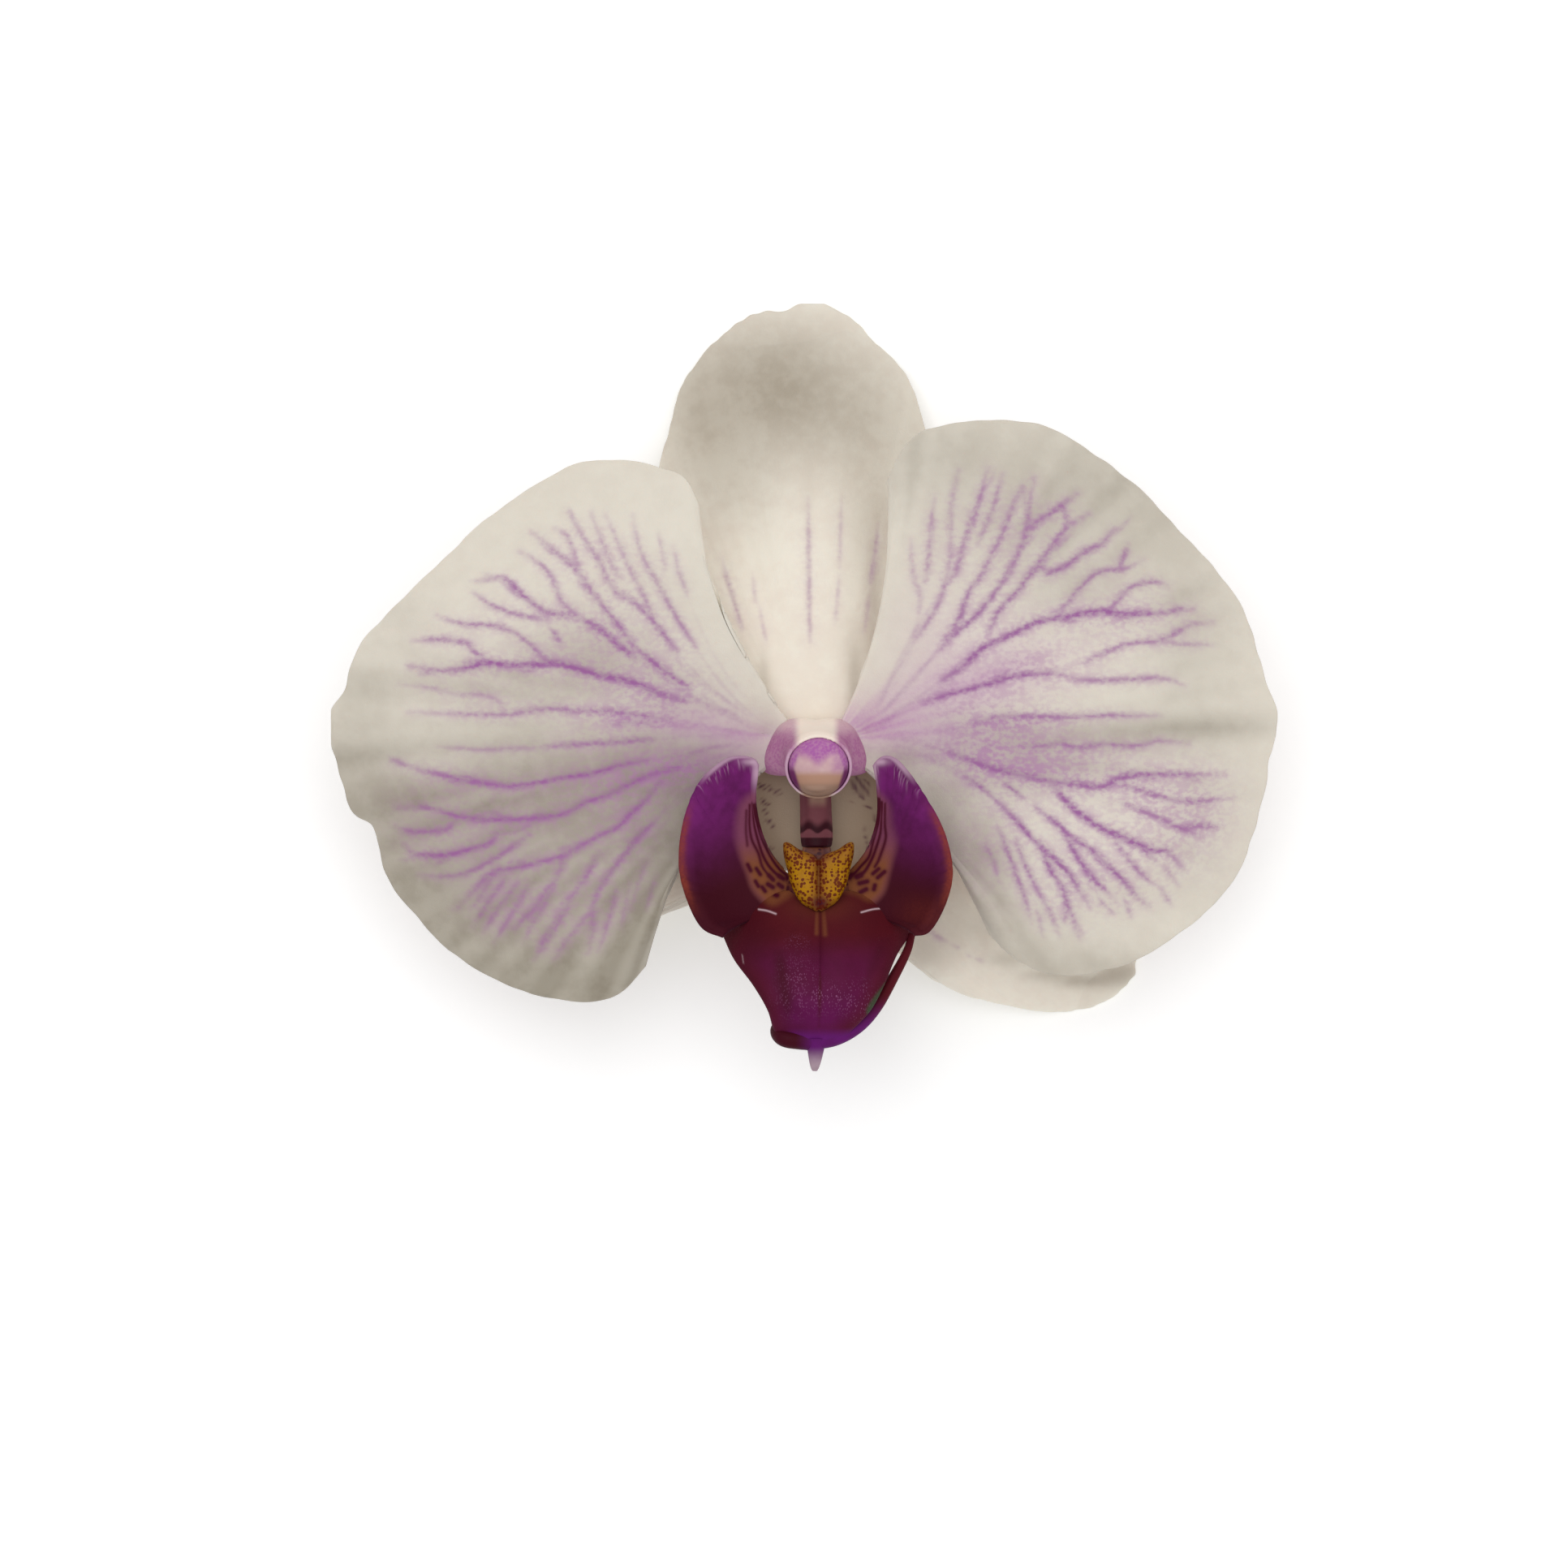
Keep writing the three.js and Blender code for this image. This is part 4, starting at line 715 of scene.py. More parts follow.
class BloomColors(bpy.types.PropertyGroup):
    petal: color_property("Petal", "Plain part of a petal", (228, 221, 207))
    petal_mottle: color_property("Petal mottle", "Soft patches in a petal", (224, 216, 202))
    # Painted shade: the next colour is the grey laid where a petal lies in shade.
    petal_painted_shade: color_property("Petal dusk", "Greyer tissue near a petal's lower side", (149, 140, 124))
    sepal: color_property("Sepal", "Plain part of a sepal", (244, 238, 224))
    sepal_mottle: color_property("Sepal mottle", "Soft patches in a sepal", (240, 231, 217))
    # Painted shade: the next colour is the grey laid where a sepal lies in shade.
    sepal_painted_shade: color_property("Sepal dusk", "Greyer end of a sepal", (172, 161, 144))
    back_green: color_property("Back", "Green tinge under a sepal's middle", (190, 192, 150))
    blush: color_property("Blush", "Pink at a petal's base", (200, 152, 190))
    vein: color_property("Vein", "Ink of the veins", (156, 92, 154))
    haze: color_property("Haze", "Fine ink between the veins", (182, 130, 174))
    # Painted shade: the next colour is the olive-grey laid on the sepals in the recess behind the column's
    # foot.
    throat: color_property("Throat", "Tissue behind the column's foot", (160, 140, 118))
    throat_spot: color_property("Throat spots", "Spots in the throat", (92, 54, 62))
    velvet: color_property("Velvet", "Side lobes of the lip", (118, 34, 110))
    velvet_deep: color_property("Deep velvet", "Darker patches of the side lobes", (98, 26, 88))
    lip_dark: color_property("Lip shade", "Lower part of the side lobes", (66, 14, 28))
    lip_band: color_property("Inner band", "Band along the throat", (126, 66, 92))
    lip_amber: color_property("Amber", "Inner band beside the callus", (130, 76, 46))
    lip_stripe: color_property("Stripes", "Stripes and blotches of the inner band", (74, 14, 34))
    lip_ember: color_property("Ember", "Outer rim of the side lobes", (140, 60, 40))
    lip_pale: color_property("Pale rim", "Upper rim of the side lobes", (222, 190, 208))
    midlobe: color_property("Middle lobe", "Upper part of the middle lobe", (86, 20, 30))
    midlobe_violet: color_property("Middle lobe violet", "Lower part of the middle lobe", (96, 20, 76))
    tip_violet: color_property("Tip violet", "Rolled tip of the lip", (98, 26, 104))
    # Painted highlight: the next colour is laid as glints on the lip's glossy folds.
    glint: color_property("Glint", "Pale slits of the lip", (226, 196, 204))
    # Painted highlight: the next colour is laid on the middle lobe's cells where they sparkle.
    sparkle: color_property("Sparkle", "Shining cells of the middle lobe", (196, 130, 178))
    # Painted shade: the next colour is the dark green-grey laid in the gap beside the right tendril.
    slit_shade: color_property("Slit", "Green tissue beside the right tendril", (62, 68, 50))
    nib: color_property("Nib", "End of the lip's nib", (184, 160, 172))
    callus: color_property("Callus", "Ridge of the lip", (174, 122, 2))
    callus_horn: color_property("Callus horn", "Horns and groove of the callus", (148, 94, 26))
    callus_spot: color_property("Callus spots", "Spots of the callus", (94, 26, 12))
    column: color_property("Column", "Top of the column", (248, 230, 216))
    column_wing: color_property("Column wings", "Sides of the column", (170, 98, 150))
    # The next colour is the hood's violet inside, made darker as painted shade of the gap round the cap; on
    # the cap's sides it is painted shade alone.
    hood: color_property("Hood", "Inside of the hood", (112, 46, 96))
    foot: color_property("Foot", "Foot of the column", (118, 66, 74))
    foot_band: color_property("Foot band", "Dark bands of the foot", (54, 12, 24))
    cap: color_property("Cap", "Upper front of the anther cap", (202, 162, 168))
    cap_tan: color_property("Cap band", "Tan band across the cap", (184, 142, 120))
    cap_shade: color_property("Cap shade", "Lower edge of the cap", (162, 130, 112))
    cap_crown: color_property("Cap crown", "Crown of the anther cap", (170, 92, 164))
    pollen: color_property("Pollen", "Pollen masses", (224, 178, 50))
    stalk: color_property("Stalk", "Ovary and stalk", (156, 170, 104))
    stalk_rib: color_property("Stalk ribs", "Blush on the ovary's ribs", (172, 150, 124))


class StudioSettings(bpy.types.PropertyGroup):
    sky: bpy.props.FloatProperty(
        name="Sky",
        description="Strength of the even light from all round",
        default=0.58,
        min=0,
    )
    key_power: bpy.props.FloatProperty(
        name="Key light",
        description="Power of the large soft light from above the top sepal",
        default=3.4,
        min=0,
        unit="POWER",
    )
    fill_power: bpy.props.FloatProperty(
        name="Fill light",
        description="Power of the weaker light from the side",
        default=0.8,
        min=0,
        unit="POWER",
    )
    floor_glow: bpy.props.FloatProperty(
        name="Floor glow",
        description="Light that the white table gives off",
        default=0.26,
        min=0,
    )


# Plain mathematics
def smoothstep(low, high, x):
    """0 below low and 1 above high, with a smooth rise between them."""
    t = np.clip((x - low) / (high - low), 0, 1)
    return t * t * (3 - 2 * t)


def bell(t, width):
    """1 where t is 0, fading within the width."""
    return np.exp(-((t / width) ** 2))


def mix(a, b, t):
    """From a at t = 0 to b at t = 1."""
    return a + (b - a) * t


def smooth_line(points, steps):
    """Evenly spaced points along a smooth curve through the given points, in the plane or in space."""
    knots = np.array(points, float)
    knots = np.vstack((2 * knots[0] - knots[1], knots, 2 * knots[-1] - knots[-2]))
    t = np.linspace(0, 1, 24, endpoint=False)[:, None]
    pieces = []
    for p0, p1, p2, p3 in zip(knots, knots[1:], knots[2:], knots[3:]):
        start = (p2 - p0) / 2
        end = (p3 - p1) / 2
        square = 3 * (p2 - p1) - 2 * start - end
        cube = 2 * (p1 - p2) + start + end
        pieces.append(p1 + start * t + square * t**2 + cube * t**3)
    pieces.append(knots[-2:-1])
    dense = np.vstack(pieces)
    run = np.concatenate(([0], np.cumsum(np.linalg.norm(np.diff(dense, axis=0), axis=1))))
    places = np.linspace(0, run[-1], steps + 1)
    return np.column_stack([np.interp(places, run, dense[:, k]) for k in range(dense.shape[1])])


def nearest_on(line, x, y):
    """How far along an evenly spaced line the place nearest to each point is, and how far off it lies."""
    start, step = line[:-1], np.diff(line, axis=0)
    from_x = x[:, None] - start[:, 0]
    from_y = y[:, None] - start[:, 1]
    t = np.clip((from_x * step[:, 0] + from_y * step[:, 1]) / (step**2).sum(1), 0, 1)
    apart = np.hypot(from_x - t * step[:, 0], from_y - t * step[:, 1])
    nearest = apart.argmin(1)
    rows = np.arange(len(x))
    return (nearest + t[rows, nearest]) / len(step), apart[rows, nearest]


def ripple(t, seed, waves, low, high):
    """A smooth random curve round 0, about 1 high. low and high are its slowest and fastest beats."""
    chance = np.random.default_rng(seed)
    beats = np.linspace(low, high, waves) * chance.uniform(0.85, 1.15, waves)
    turns = chance.uniform(0, 2 * math.pi, waves)
    sizes = chance.uniform(0.5, 1, waves)
    curves = (size * np.sin(2 * math.pi * beat * t + turn) for size, beat, turn in zip(sizes, beats, turns))
    return sum(curves) / math.sqrt((sizes**2).sum())


# Painting
def outward(points):
    """The points in order from the middle of the bloom to its outside."""
    line = np.array(points, float)
    return line if np.hypot(*line[0]) < np.hypot(*line[-1]) else line[::-1]


def stroke_ink(x, y, strokes, width, tapered=True):
    """How strongly each point is inked. A stroke is its strength, then the points that it runs through."""
    ink = np.zeros(len(x))
    for strength, *points in strokes:
        line = smooth_line(outward(points), 8 * len(points))
        reach = width * (0.62 + 0.42 * strength)
        low, high = line.min(0) - 3 * reach, line.max(0) + 3 * reach
        near = np.flatnonzero((x > low[0]) & (x < high[0]) & (y > low[1]) & (y < high[1]))
        if not len(near):
            continue
        along, apart = nearest_on(line, x[near], y[near])
        if tapered:
            fade = mix(0.55, 1, smoothstep(0, 0.16, along)) * mix(1, 0.3, smoothstep(0.72, 1, along))
            reach = reach * mix(1, 0.8, smoothstep(0.6, 1, along))
        else:
            fade = 1
        drawn = np.clip(strength * fade, 0, 1.2) * bell(apart, reach)
        ink[near] = ink[near] + drawn * (1 - np.clip(ink[near], 0, 1))
    return ink


def turned(direction, angle):
    """A direction in the plane, turned by an angle."""
    c, s = math.cos(angle), math.sin(angle)
    return np.array((direction[0] * c - direction[1] * s, direction[0] * s + direction[1] * c))


def twigs_of(veins, seed):
    """The short side twigs that leave the stronger veins beyond their first third."""
    chance = np.random.default_rng(seed)
    twigs = []
    for strength, *points in veins:
        line = smooth_line(outward(points), 60)
        length = np.linalg.norm(np.diff(line, axis=0), axis=1).sum()
        if strength < STRONG or length < TWIG_BEARER:
            continue
        for share in np.arange(*TWIG_PLACES, TWIG_GAP / length):
            at = int(np.clip(60 * (share + chance.uniform(-0.05, 0.05)), 1, 58))
            forward = line[at + 1] - line[at - 1]
            forward /= np.linalg.norm(forward)
            angle = math.radians(chance.uniform(*TWIG_ANGLES)) * chance.choice((-1, 1))
            reach = chance.uniform(*TWIG_LENGTHS)
            elbow = line[at] + 0.45 * reach * turned(forward, angle)
            end = elbow + 0.55 * reach * turned(forward, angle * 0.3)
            twigs.append((strength * chance.uniform(*TWIG_STRENGTHS), line[at], elbow, end))
    return twigs


def roots_of(veins, root):
    """Faint lines that lead from a blade's base to the veins that begin near it."""
    root = np.array(root, float)
    lines = []
    for strength, *points in veins:
        first, second = outward(points)[:2]
        span = np.linalg.norm(first - root)
        if not ROOT_SPANS[0] < span < ROOT_SPANS[1]:
            continue
        forward = (second - first) / np.linalg.norm(second - first)
        elbow = first - 0.45 * span * forward
        start = mix(root, first, 0.25)
        line = [mix(mix(start, elbow, t), mix(elbow, first, t), t) for t in (0, 0.25, 0.5, 0.75, 1)]
        lines.append((ROOT_STRENGTH * min(strength, STRONG), *line))
    return lines


def stains(x, y, places):
    """Soft round stains, each with its middle, its reach along x and y, and its strength."""
    clear = np.ones(len(x))
    for at_x, at_y, reach_x, reach_y, strength in places:
        spread = ((x - at_x) / reach_x) ** 2 + ((y - at_y) / reach_y) ** 2
        clear *= 1 - strength * np.exp(-spread)
    return 1 - clear


def inside_area(x, y, outline, blur):
    """1 inside a smooth closed outline and 0 outside it, with a soft edge as wide as the blur."""
    line = smooth_line([*outline, outline[0]], 5 * len(outline))
    apart = nearest_on(line, x, y)[1]
    x1, y1 = line[:-1, 0], line[:-1, 1]
    x2, y2 = line[1:, 0], line[1:, 1]
    spans = (y1 > y[:, None]) != (y2 > y[:, None])
    rise = np.where(y2 == y1, 1e-9, y2 - y1)
    crossing = x[:, None] < (x2 - x1) * (y[:, None] - y1) / rise + x1
    inside = (spans & crossing).sum(1) % 2 == 1
    return smoothstep(-blur / 2, blur / 2, np.where(inside, apart, -apart))


# Meshes
def stored(piece, what):
    """What the piece's mesh stores for each point: co, its place, or normal, the way that it faces."""
    flat = np.empty(3 * len(piece.data.vertices), np.float32)
    piece.data.vertices.foreach_get(what, flat)
    return flat.reshape(-1, 3).astype(float)


def drawn_points(piece):
    """The piece's points in millimetres of the bloom's own frame."""
    return stored(piece, "co") / MM - SHIFT


def set_points(piece, points):
    """Puts points of the bloom's own frame into the mesh, never outside the frame's box."""
    metres = np.clip((points + SHIFT) * MM, np.array(CAD_LOW), np.array(CAD_HIGH))
    piece.data.vertices.foreach_set("co", metres.astype(np.float32).ravel())
    piece.data.update()


def give_name(piece, name):
    """Names a piece and its mesh."""
    piece.name = name
    piece.data.name = name


def paint(piece, name, values):
    """Stores one number a point, which a material reads by its name."""
    layer = piece.data.attributes.new(name, "FLOAT", "POINT")
    layer.data.foreach_set("value", np.asarray(values, np.float32))


def select_only(piece):
    """Selects this piece alone and makes it the active one."""
    bpy.ops.object.select_all(action="DESELECT")
    piece.select_set(True)
    bpy.context.view_layer.objects.active = piece


def finish_with(piece, kind, **settings):
    """Adds a modifier and applies it."""
    select_only(piece)
    modifier = piece.modifiers.new(kind.title(), kind)
    for setting, value in settings.items():
        setattr(modifier, setting, value)
    bpy.ops.object.modifier_apply(modifier=modifier.name)


def in_edit_mode(piece, *steps):
    """Runs edit mode's operators on the whole of a piece."""
    select_only(piece)
    bpy.ops.object.mode_set(mode="EDIT")
    bpy.ops.mesh.select_all(action="SELECT")
    for step in steps:
        step()
    bpy.ops.object.mode_set(mode="OBJECT")


def face_outwards():
    """Turns every selected face outwards."""
    bpy.ops.mesh.normals_make_consistent(inside=False)


def flat_grid(name, across, along):
    """Adds a flat grid. Returns it with each point's place across and along it, from 0 to 1."""
    bpy.ops.object.select_all(action="DESELECT")
    bpy.ops.mesh.primitive_grid_add(x_subdivisions=across, y_subdivisions=along, size=1)
    piece = bpy.context.active_object
    give_name(piece, name)
    flat = stored(piece, "co")
    return piece, flat[:, 0] + 0.5, flat[:, 1] + 0.5


def complete(piece, material, slot, *nodes):
    """Gives a finished piece its material and its body, and lets it stand for its nodes."""
    set_points(piece, drawn_points(piece))
    select_only(piece)
    bpy.ops.object.shade_smooth()
    piece.data.materials.clear()
    piece.data.materials.append(material)
    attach(piece, "root")
    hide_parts(*nodes)


# Blades
def fan_points(shape, v, s):
    """Where a blade's rays lead. v runs along its margin, and s from its base edge to its margin."""
    margin = smooth_line(shape["margin"], 800)
    places = np.linspace(0, 1, len(margin))
    (base_a, base_b), (bend_a, bend_b) = np.array(shape["base"]), np.array(shape["bends"])
    found = []
    for k in (0, 1):
        end = np.interp(v, places, margin[:, k])
        root = mix(base_a[k], base_b[k], v)
        control = (root + end) / 2 + (1 - v) ** 2 * bend_a[k] + v**2 * bend_b[k]
        found.append((1 - s) ** 2 * root + 2 * s * (1 - s) * control + s**2 * end)
    return found


def edge_distance(shape, v, s, x, y):
    """How far each point is from the blade's free edge."""
    edges = [fan_points(shape, v, np.ones_like(s))]
    edges += [fan_points(shape, np.full_like(v, side), s) for side in (0.0, 1.0)]
    return np.min([np.hypot(x - edge_x, y - edge_y) for edge_x, edge_y in edges], axis=0)


def blade(name, shape, counts, height, thickness, masks, dents=0.0, seed=0):
    """A thin curved blade, thinner towards its free edge. masks gives what its points are painted with."""
    sizes = bpy.context.scene.bloom_sizes
    piece, v, s = flat_grid(name, *counts)
    s = s * (1 + RIM_CROWDING) - RIM_CROWDING * s**2
    inset = dents * (0.5 + 0.5 * ripple(v, seed, 9, 7, 34)) / MM
    reach = 1 - np.clip(inset, 0, None) / DENT_SPAN * s**3
    x, y = fan_points(shape, v, s * reach)
    set_points(piece, np.column_stack((x, y, height(x, y, v, s))))
    if stored(piece, "normal")[:, 2].mean() < 0:
        in_edit_mode(piece, bpy.ops.mesh.flip_normals)
    for mask, values in masks(x, y, v, s).items():
        paint(piece, mask, values)
    depth = np.clip(edge_distance(shape, v, s, x, y) / (sizes.margin_width / MM), 0, 1)
    share = mix(sizes.margin_share, 1, np.sqrt(1 - (1 - depth) ** 2))
    group = piece.vertex_groups.new(name="thickness")
    for index, value in enumerate(share):
        group.add((index,), float(value), "REPLACE")
    finish_with(piece, "SOLIDIFY", thickness=thickness, offset=0, vertex_group=group.name)
    piece.vertex_groups.clear()
    paint(piece, "underside", smoothstep(0.1, -0.25, stored(piece, "normal")[:, 2]))
    return piece


def sepal_height(sepal):
    """The middle of a sepal that leaves the column level and bends back until its tip lies on the table."""
    root = sepal["root"]
    seed = sepal["seed"]
    axis = np.array(sepal["tip"], float) - np.array(root, float)
    length = np.linalg.norm(axis)
    axis /= length
    rest = bpy.context.scene.bloom_sizes.sepal_thickness / 2 / MM

    def height(x, y, v, s):
        along = ((x - root[0]) * axis[0] + (y - root[1]) * axis[1]) / length
        across = (x - root[0]) * -axis[1] + (y - root[1]) * axis[0]
        a = np.clip(along, 0, None)
        inner = np.clip(a, 0, 1)
        arch = sepal["arch"] * (across / 10) ** 2 * 4 * inner * (1 - inner)
        keel = 0.3 * bell(across, 1.1) * smoothstep(0.1, 0.3, a) * smoothstep(0.95, 0.6, a)
        fibres = 0.03 * ripple(v, seed, 8, 8, 26) * smoothstep(0.15, 0.6, s)
        swells = 0.16 * ripple(across / 30 + 0.3, seed + 1, 5, 1, 3) * ripple(a, seed + 2, 5, 1, 4)
        edge = 0.25 * ripple(v, seed + 3, 5, 2, 7) * s**6
        relief = fibres - keel + swells * smoothstep(0.1, 0.4, s) + edge
        return np.maximum(rest, SEPAL_BASE_HEIGHT - SEPAL_CURL * a**CURL_POWER - arch + relief)

    return height


def petal_height(petal):
    """A petal's middle: it rises from the column, rolls back at its margin and is pleated at its end."""
    root = petal["root"]
    seed = petal["seed"]

    def height(x, y, v, s):
        across = (x - root[0]) * petal["side"]
        up = y - root[1]
        r = np.hypot(across, up) / PETAL_REACH
        angle = np.arctan2(up, across)
        lift = PETAL_RISE * (1 - np.exp(-r / 0.1))
        dome = PETAL_DOME * np.sin(math.pi * 0.8 * np.minimum(r, 1.1))
        roll = PETAL_ROLL * smoothstep(0.7, 1.05, s) ** 1.3
        swell = PETAL_WAVE * np.sin(5.2 * angle + petal["tilt"]) * s**2
        folds = sum(size * bell(angle - at, width) for at, size, width in petal["pleats"])
        fibres = 0.03 * ripple(v, seed, 9, 14, 46) * smoothstep(0.4, 0.8, s)
        swells = 0.2 * ripple(angle / 3 + 0.5, seed + 1, 6, 1.5, 6) * ripple(r, seed + 2, 5, 1, 4)
        edge = 0.14 * ripple(v, seed + 3, 6, 3, 11) * s**7
        sunken = 0.07 * stroke_ink(x, y, petal["veins"], 0.45)
        relief = fibres + swells * smoothstep(0.1, 0.4, s) + edge - sunken
        return PETAL_BASE_HEIGHT + lift + dome - roll + swell + folds * smoothstep(0.45, 1, r) + relief

    return height


def petal_masks(petal):
    """The paint of a petal: veins with their twigs, pink at the base, haze round the veins, and painted
    shade.
    """
    veins = petal["veins"]
    seed = petal["seed"] + 1

    def masks(x, y, v, s):
        width = bpy.context.scene.bloom_sizes.vein_width / MM
        drawn = stroke_ink(x, y, veins, width)
        fine = stroke_ink(x, y, [*twigs_of(veins, seed), *roots_of(veins, petal["root"])], width * 0.9)
        halo = stroke_ink(x, y, veins, 2.3 * width)
        rays = 1 + 0.16 * ripple(v, seed + 1, 7, 4, 16)
        grooves = 0.14 * ripple(v, seed + 2, 9, 11, 34) * smoothstep(0.35, 0.75, s)
        misted = np.clip(stains(x, y, petal["haze"]) * rays, 0, 1)
        ink = 1 - (1 - np.clip(drawn, 0, 1)) * (1 - fine) * (1 - 0.2 * misted**1.5)
        return {
            "vein": ink * (1 - stains(x, y, petal["faded"])),
            "blush": np.clip(stains(x, y, petal["blush"]) * rays, 0, 1),
            "haze": 1 - (1 - misted) * (1 - 0.42 * np.clip(halo, 0, 1)),
            # Painted shade: grey where the petal lies in shade
            "painted_shade": np.clip(stains(x, y, petal["painted_shade"]) * (1 + grooves), 0, 1),
        }

    return masks


def sepal_masks(sepal):
    """The paint of a sepal: thin veins and painted shade, and on a lower one the throat's painted shade and
    its spots.
    """
    veins = sepal["veins"]

    def masks(x, y, v, s):
        width = bpy.context.scene.bloom_sizes.vein_width / MM
        found = {
            "vein": 0.62 * stroke_ink(x, y, veins, width * 0.8),
            "blush": np.zeros(len(x)),
            "haze": 0.16 * stroke_ink(x, y, veins, 3 * width),
            # Painted shade: grey where the sepal lies in shade
            "painted_shade": stains(x, y, sepal["painted_shade"]),
        }
        if sepal["throat"]:
            # The throat: olive-grey laid as painted shade in the recess behind the column's foot; its spots
            # are real marks
            rows = smoothstep(-15.5, -13.5, y) * smoothstep(-2, -4, y)
            found["throat"] = smoothstep(8.5, 6, np.abs(x)) * rows
            found["spot"] = stroke_ink(x, y, sepal["throat"], 0.13, tapered=False)
        return found

    return masks


def lobe_height(side):
    """The middle of a side lobe: deep beside the column's foot, and high at its outer margin."""

    def height(x, y, v, s):
        from_inner = (1 + (2 * v - 1) * side) / 2
        rise = mix(LOBE_INNER_RISE, LOBE_OUTER_RISE, smoothstep(0, 0.3, from_inner))
        hollow = LOBE_HOLLOW * np.sin(math.pi * s)
        lean = LOBE_LEAN * smoothstep(0.85, 1, s)
        pleats = 0.06 * ripple(v, 41, 8, 8, 22) * smoothstep(0.55, 0.95, s)
        return LOBE_BASE_HEIGHT + rise * s**1.2 - hollow - lean + pleats

    return height


def lobe_masks(lobe):
    """The paint of a side lobe."""
    side = lobe["side"]
    hook_places = ((5.85 * side, -4.4, 0.42, 1.3, 0.8), (6.5 * side, -3.1, 1.1, 0.4, 0.6))

    def masks(x, y, v, s):
        inner = inside_area(x, y, lobe["band"], 1.3)
        rim = nearest_on(smooth_line(lobe["shape"]["margin"], 60), x, y)[1]
        outer = smoothstep(-6.5, -10, y) * smoothstep(-19.5, -15, y) * smoothstep(6, 9, np.abs(x))
        pale_rim = 0.5 * bell(rim, 0.2) * smoothstep(-5.8, -3.6, y)
        return {
            "band": inner,
            "amber": inner * smoothstep(-10.4, -14, y),
            "stripe": stroke_ink(x, y, lobe["stripes"], STROKE, tapered=False),
            "ember": np.maximum(0.75 * bell(rim, 0.42) * outer, stains(x, y, EMBER_PLACES)),
            "pale": np.maximum(stains(x, y, hook_places), pale_rim),
            "streak_room": smoothstep(-7.2, -4.2, y) * smoothstep(1.7, 0.1, rim),
            # Painted shade: the side lobes darker towards the bottom
            "dark": smoothstep(-4.8, -16.5, y + 0.35 * (np.abs(x) - 9)),
            # Painted highlight
            "glint": 0.85 * stroke_ink(x, y, LIP_GLINTS, THIN_STROKE, tapered=False),
        }

    return masks


def midlobe_height(x, y, v, s):
    """The middle of the middle lobe: an arch with a groove down its middle, which dips at the tip."""
    down = (MIDLOBE_START - y) / MIDLOBE_LENGTH
    rise = MIDLOBE_RISE * np.sin(math.pi / 2 * np.clip(down / MIDLOBE_CREST, 0, 1))
    dip = MIDLOBE_DIP * smoothstep(MIDLOBE_CREST, 1, down)
    aside = x - MIDLOBE_MIDDLE
    droop = MIDLOBE_DROOP * (aside / MIDLOBE_HALF_WIDTH) ** 2
    grooved = smoothstep(0, 0.1, down) * (1 - smoothstep(0.45, 0.8, down))
    creased = smoothstep(0.05, 0.15, down) * (1 - smoothstep(0.4, 0.65, down))
    groove = MIDLOBE_GROOVE * bell(aside, 1) * grooved
    crease = MIDLOBE_CREASE * bell(aside - 0.2, 0.3) * creased
    pleats = 0.05 * ripple(v, 57, 5, 2, 8) * smoothstep(0.3, 0.7, s)
    return MIDLOBE_BASE_HEIGHT + rise - dip - droop - groove - crease + pleats


def midlobe_masks(x, y, v, s):
    """The paint of the middle lobe."""
    rim = nearest_on(smooth_line(MIDLOBE["margin"], 80), x, y)[1]
    lower = mix(0.55 * smoothstep(-20.5, -24, y), 1, smoothstep(-25, -29, y))
    amber_lines = stroke_ink(x, y, AMBER_LINES, 0.2, tapered=False)
    folds = 0.8 * stroke_ink(x, y, LIP_FOLD_SHADES, 0.7)
    return {
        "violet": lower * mix(0.3, 1, smoothstep(0.3, 2.6, rim)),
        "amber": np.maximum(amber_lines, stains(x, y, AMBER_PLACES)),
        "band": np.maximum(inside_area(x, y, LEFT_BAND, 1.1), inside_area(x, y, RIGHT_BAND, 1.1)),
        "stripe": stroke_ink(x, y, [*LEFT_STRIPES, *RIGHT_STRIPES], STROKE, tapered=False),
        # Painted shade down the groove
        "groove": stroke_ink(x, y, GROOVE_SHADE_LINE, 0.2),
        # Painted shade in the middle lobe's folds
        "fold_shade": np.maximum(folds, stains(x, y, FOLD_SHADE_PLACES)),
        "edge": np.maximum(bell(rim, 0.9) * smoothstep(-29.5, -27.5, y), 0.4 * bell(rim, 2)),
        # Painted shade beside the right tendril
        "slit_shade_area": inside_area(x, y, SLIT_SHADE_OUTLINE, 0.5),
        "tip": smoothstep(-29.6, -30.8, y) * smoothstep(-3.4, -1.8, x),
        # Painted highlights on the cells
        "sparkle": stains(x, y, SPARKLE_PLACES),
        # Painted highlight
        "glint": 0.85 * stroke_ink(x, y, LIP_GLINTS, THIN_STROKE, tapered=False),
    }


# Tubes and domes
def rolled(name, around, along, points_at):
    """A grid rolled up into a closed body. points_at(turn, t) gives its points, with turn up to 2 pi."""
    piece, u, t = flat_grid(name, around, along)
    set_points(piece, points_at(2 * math.pi * u, t))
    in_edit_mode(
        piece,
        lambda: bpy.ops.mesh.remove_doubles(threshold=0.004 * MM),
        lambda: bpy.ops.mesh.fill_holes(sides=0),
        face_outwards,
    )
    return piece


